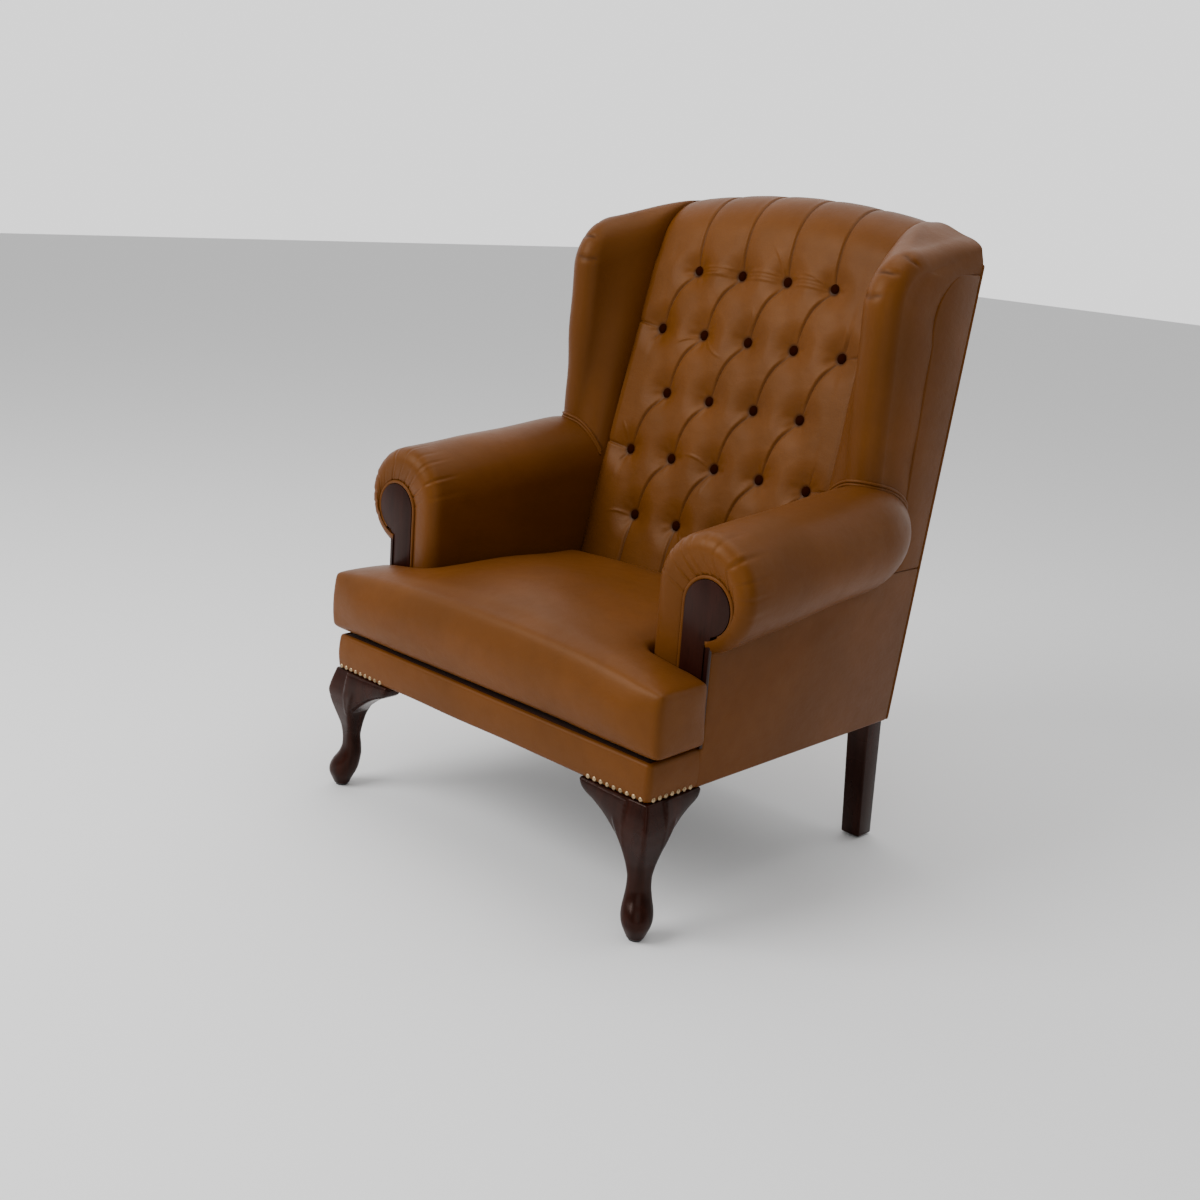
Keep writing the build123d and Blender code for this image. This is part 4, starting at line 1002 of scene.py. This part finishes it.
def makeCushion():
    small = cushion["start"]
    wide, front = halfWidth + cushion["earOver"] - small, -cushion["over"] + small
    low, edge = cushion["low"] + small * 0.3, cushion["edge"] - small
    rear = faceY(low, cushion["backGap"]) - small
    plan = teePlan(wide, front, cushion["earBack"] - small, cushion["stem"] - small * 0.5, rear)
    piece = teePiece("seatCushion", plan, low, edge)
    remesh(piece, cushion["voxel"])
    spots = coordsOf(piece.data)
    x, y, z = spots[:, 0], spots[:, 1] - frontY, spots[:, 2]
    height = np.clip((z - low) / (edge - low), 0, 1)
    along = np.clip((y - front) / (rear - front), 0, 1)
    hump = 0.72 + 0.28 * smoothStep(0, 0.35, along) - 0.32 * smoothStep(0.55, 1.0, along)
    crown = cushion["crown"] * (1 - np.abs(x / wide) ** 2.2) * hump
    rim = smoothStep(wide - cushion["rim"], wide, np.abs(x))
    rim = np.maximum(1 - smoothStep(front, front + cushion["rim"], y), rim)
    spots[:, 2] = z + crown * height ** 1.4 + cushion["lift"] * rim * (1 - smoothStep(0, 0.2, height))
    spots[:, 1] += (spots[:, 2] - low) * tan(lean) * smoothStep(0.55, 1.0, along)
    spots[:, 1] -= 0.004 * np.sin(pi * height) * (1 - smoothStep(0, 0.06, along))
    setCoords(piece.data, spots)
    relax(piece.data, 5)
    swell(piece, cushion["pressure"], cushion["steps"], cushion["limit"])
    relax(piece.data, 2)
    pushOut(piece.data, cushion["uneven"] * drift(coordsOf(piece.data), 91, 0.22))
    spots = coordsOf(piece.data)
    outer, y = np.abs(spots[:, 0]), spots[:, 1] - frontY
    ear = smoothStep(0.338, 0.362, outer) * smoothStep(0.07, cushion["earBack"], y)    # closes up to the facing
    spots[:, 1] += np.where(outer > 0.3, np.minimum(0.004 * ear, arm["front"] - 0.0008 - y), 0.0)
    setCoords(piece.data, spots)
    refine(piece)
    settle(piece, leather, ["cushion_cover", "cushion_core"], "seat_cushion")
    print("cushion made", len(piece.data.polygons))


platform = {"fill": 0.6, "voxel": 0.004, "gap": 0.0024, "uneven": 0.0006}


def makePlatform():
    lo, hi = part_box("deck_pad")
    wide, front, rear = hi.x, lo.y - frontY, hi.y - frontY
    plan = teePlan(wide, front, arm["front"] - platform["gap"], backHalf, rear)
    piece = teePiece("seatPlatform", plan, lo.z, hi.z)
    remesh(piece, platform["voxel"])
    relax(piece.data, 3)
    spots = coordsOf(piece.data)
    top = spots[:, 2] > (lo.z + hi.z) / 2
    spots[top, 2] -= platform["uneven"] * (1 + drift(spots[top], 97, 0.12))
    setCoords(piece.data, spots)
    settle(piece, platformCloth, ["deck_pad"])


makeCushion()
makePlatform()

# Cabriole front legs and square rear legs
leg = {"top": 0.074, "glide": 0.003, "earReach": 0.144, "sideEarReach": 0.124, "earDepth": 0.036, "voxel": 0.0018,
       "rearTop": 0.044, "rearFoot": 0.039, "kick": 0.014, "rearEdge": 0.003}
# share of the height, corner past the band's corner, side, corner radius, depth towards the corner
legSections = np.array([
    (1.0, 0.000, 0.074, 0.003, 1.0), (0.9, 0.009, 0.074, 0.0035, 1.0), (0.81, 0.015, 0.071, 0.004, 1.0),
    (0.71, 0.009, 0.060, 0.0055, 0.96), (0.61, -0.001, 0.048, 0.008, 0.9), (0.52, -0.010, 0.040, 0.010, 0.84),
    (0.43, -0.014, 0.0345, 0.012, 0.84), (0.34, -0.014, 0.036, 0.0135, 0.88), (0.27, -0.008, 0.0415, 0.017, 0.94),
    (0.21, 0.003, 0.048, 0.0205, 1.0), (0.15, 0.009, 0.050, 0.022, 1.03), (0.1, 0.009, 0.046, 0.0205, 1.03),
    (0.05, 0.004, 0.036, 0.016, 1.0), (0.0, -0.002, 0.026, 0.012, 1.0)])


def roundSquare(x0, x1, y0, y1, radius, z):
    spots = []
    for cx, cy, start in ((x1 - radius, y0 + radius, -90), (x1 - radius, y1 - radius, 0),
                          (x0 + radius, y1 - radius, 90), (x0 + radius, y0 + radius, 180)):
        for turn in np.radians(np.linspace(start, start + 90, 9)):
            spots.append((cx + radius * cos(turn), cy + radius * sin(turn), z))
    return np.array(spots)


# Smooth values between the listed sections
def legShape(share):
    heights = legSections[::-1, 0]
    fine = np.linspace(0, 1, 400)
    kernel = np.hanning(33)
    values = []
    for column in range(1, 5):
        rough = np.pad(np.interp(fine, heights, legSections[::-1, column]), 16, mode="edge")
        values.append(np.interp(share, fine, np.convolve(rough, kernel / kernel.sum(), "valid")))
    return values


# A knee ear: a bracket that sweeps from the knee out along the rail and ends in a round tip
def earRings(reach):
    start, tip = halfWidth - leg["top"] * 0.5, halfWidth - reach
    rings = []
    for share in np.linspace(0, 1, 22):
        x = start + (tip - start) * share
        fall = 0.024 + 0.062 * (1 - share) ** 1.7
        end = sqrt(max(1 - max((share - 0.8) / 0.2, 0) ** 2, 0.0))
        fall *= 0.35 + 0.65 * end
        out = 0.010 * (1 - share) ** 1.2 + 0.002
        low, top, rear = legHeight - fall, legHeight, leg["earDepth"]
        bow = [(-out * (0.55 + 0.45 * sin(pi * t)), top - 0.003 - (fall - 0.009) * t)
               for t in np.linspace(0, 1, 9)]
        outline = [(0.002, top)] + bow + [(0.004, low), (rear, low), (rear, top)]
        rings.append([(x, y, z) for y, z in outline])
    return np.array(rings)


def makeFrontLeg(side, word):
    name = word + "FrontLeg"
    half, span = halfWidth, legHeight - leg["glide"]
    way = np.array([1, -1, 0]) / sqrt(2)
    rings = []
    for share in np.linspace(0, 1, 90):
        out, width, radius, depth = legShape(share)
        shift = (out + radius * (sqrt(2) - 1)) / sqrt(2)
        ring = roundSquare(half + shift - width, half + shift, -shift, width - shift, radius,
                           leg["glide"] + span * share)
        corner = (ring @ way).max()
        reach = (ring @ way - corner) * (depth - 1)
        rings.append(ring + reach[:, None] * way)
    shaft = ringPiece(name + "Shaft", rings)
    ear = earRings(leg["earReach"])
    sideEar = earRings(leg["sideEarReach"])
    swapped = np.stack([half - sideEar[..., 1], half - sideEar[..., 0], sideEar[..., 2]], -1)
    work = bmesh.new()
    for part in (shaft, ringPiece(name + "Ear", ear), ringPiece(name + "SideEar", swapped)):
        work.from_mesh(part.data)
        bpy.data.objects.remove(part)
    mesh = bpy.data.meshes.new(name)
    work.to_mesh(mesh)
    work.free()
    piece = addObject(name, mesh)
    remesh(piece, leg["voxel"])
    relax(piece.data, 4)
    spots = coordsOf(piece.data)
    spots[:, 2] = np.clip(spots[:, 2], leg["glide"], legHeight)
    spots[:, 0] *= side
    setCoords(piece.data, spots)
    if side < 0:
        piece.data.flip_normals()
    settle(piece, legWood, ["front_leg_" + word])


def makeRearLeg(word):
    lo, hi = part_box("rear_leg_" + word)
    x, top = (lo.x + hi.x) / 2, rearY(legHeight, cover + fit) - leg["rearTop"] / 2
    square = lambda y, z, width: [(x + dx * width / 2, y + dy * width / 2, z)
                                  for dx, dy in ((-1, -1), (1, -1), (1, 1), (-1, 1))]
    foot = square(top + leg["kick"], leg["glide"], leg["rearFoot"])
    piece = platePiece(word + "RearLeg", [foot, square(top, legHeight, leg["rearTop"])], leg["rearEdge"])
    settle(piece, legWood, ["rear_leg_" + word])


for side, word in sides:
    makeFrontLeg(side, word)
    makeRearLeg(word)
print("legs made")

# The frame, springs, cloths and fixings keep their solids and get their finishes
slotFinish = {"frame_wood": frameWood, "steel": springSteel, "hessian": hessian, "foam": foam, "glide": glidePlastic,
              "dust_cloth": dustCloth, "show_wood": legWood, "leather": leather, "brass": nailBrass}
for entry in frame["record"]["subparts"]:
    node = frame["nodes"][entry["node"]]
    node.data.materials.clear()
    node.data.materials.append(slotFinish[entry["material_slot"]])

# Floor, light and camera
studio = {"floorSize": 14.0, "floor": (0.86, 0.86, 0.86), "brightSide": (-0.67, 0.74, 0.0), "dim": 0.3, "bright": 1.5}


def makeStudio():
    mesh = bpy.data.meshes.new("studioFloor")
    s = studio["floorSize"]
    mesh.from_pydata([(-s, -s, 0), (s, -s, 0), (s, s, 0), (-s, s, 0)], [], [[0, 1, 2, 3]])
    mesh.materials.append(Finish("paleFloor", Roughness=0.9, Base_Color=studio["floor"] + (1.0,)).material)
    addObject("studioFloor", mesh)
    world = bpy.data.worlds.new("studio")
    world.use_nodes = True
    sky = NodeMaker(world.node_tree)
    place = sky.node("ShaderNodeTexCoord", output="Generated")
    toward = sky.node("ShaderNodeVectorMath", {"operation": "DOT_PRODUCT"},
                      {0: place, 1: studio["brightSide"]}, "Value")
    glow = sky.node("ShaderNodeMapRange", {"interpolation_type": "SMOOTHSTEP"},
                    {"Value": toward, "From Min": -0.3, "From Max": 0.8, "To Min": studio["dim"],
                     "To Max": studio["bright"]})
    backdrop = sky.tree.nodes["Background"]
    backdrop.inputs[0].default_value = (1.0, 1.0, 1.0, 1.0)
    sky.tree.links.new(glow.socket, backdrop.inputs[1])
    bpy.context.scene.world = world
    for name, spot, aim, size, power in (("key", (-1.4, -3.0, 3.0), (0, 0, 0.6), 2.4, 150),
                                         ("fill", (2.6, -2.6, 1.8), (0, 0, 0.6), 2.6, 22),
                                         ("top", (0.3, 0.2, 3.6), (0, 0.1, 0.6), 2.2, 40)):
        light = bpy.data.lights.new(name, "AREA")
        light.size, light.energy = size, power
        lamp = addObject(name, light)
        lamp.location = spot
        lamp.rotation_euler = (Vector(aim) - Vector(spot)).to_track_quat("-Z", "Y").to_euler()


# Camera worked out from the chair's square corners in the photo, in pixels of its 1200 by 1200 frame
shot = {"azimuth": 42.34, "elevation": 14.18, "roll": 4.52, "eye": (1.79087, -1.61549, 1.15138),
        "focalPixels": 1534.51, "centreX": 632.38, "centreY": 556.40, "frame": 1200.0, "sensor": 36.0}


def makeCamera():
    az, el, roll = (radians(shot[key]) for key in ("azimuth", "elevation", "roll"))
    away = Vector((sin(az) * cos(el), -cos(az) * cos(el), sin(el)))
    level = Vector((cos(az), sin(az), 0))
    upright = away.cross(level)
    right = cos(roll) * level + sin(roll) * upright
    up = cos(roll) * upright - sin(roll) * level
    lens = bpy.data.cameras.new("photoCamera")
    lens.sensor_width = shot["sensor"]
    lens.lens = shot["sensor"] * shot["focalPixels"] / shot["frame"]
    lens.shift_x = 0.5 - shot["centreX"] / shot["frame"]
    lens.shift_y = shot["centreY"] / shot["frame"] - 0.5
    camera = addObject("photoCamera", lens)
    eye = Vector(shot["eye"]) + Vector((0, frontY, 0))
    turn = Matrix((right, up, away)).transposed().to_4x4()
    camera.matrix_world = Matrix.Translation(eye) @ turn
    bpy.context.scene.camera = camera


makeStudio()
makeCamera()
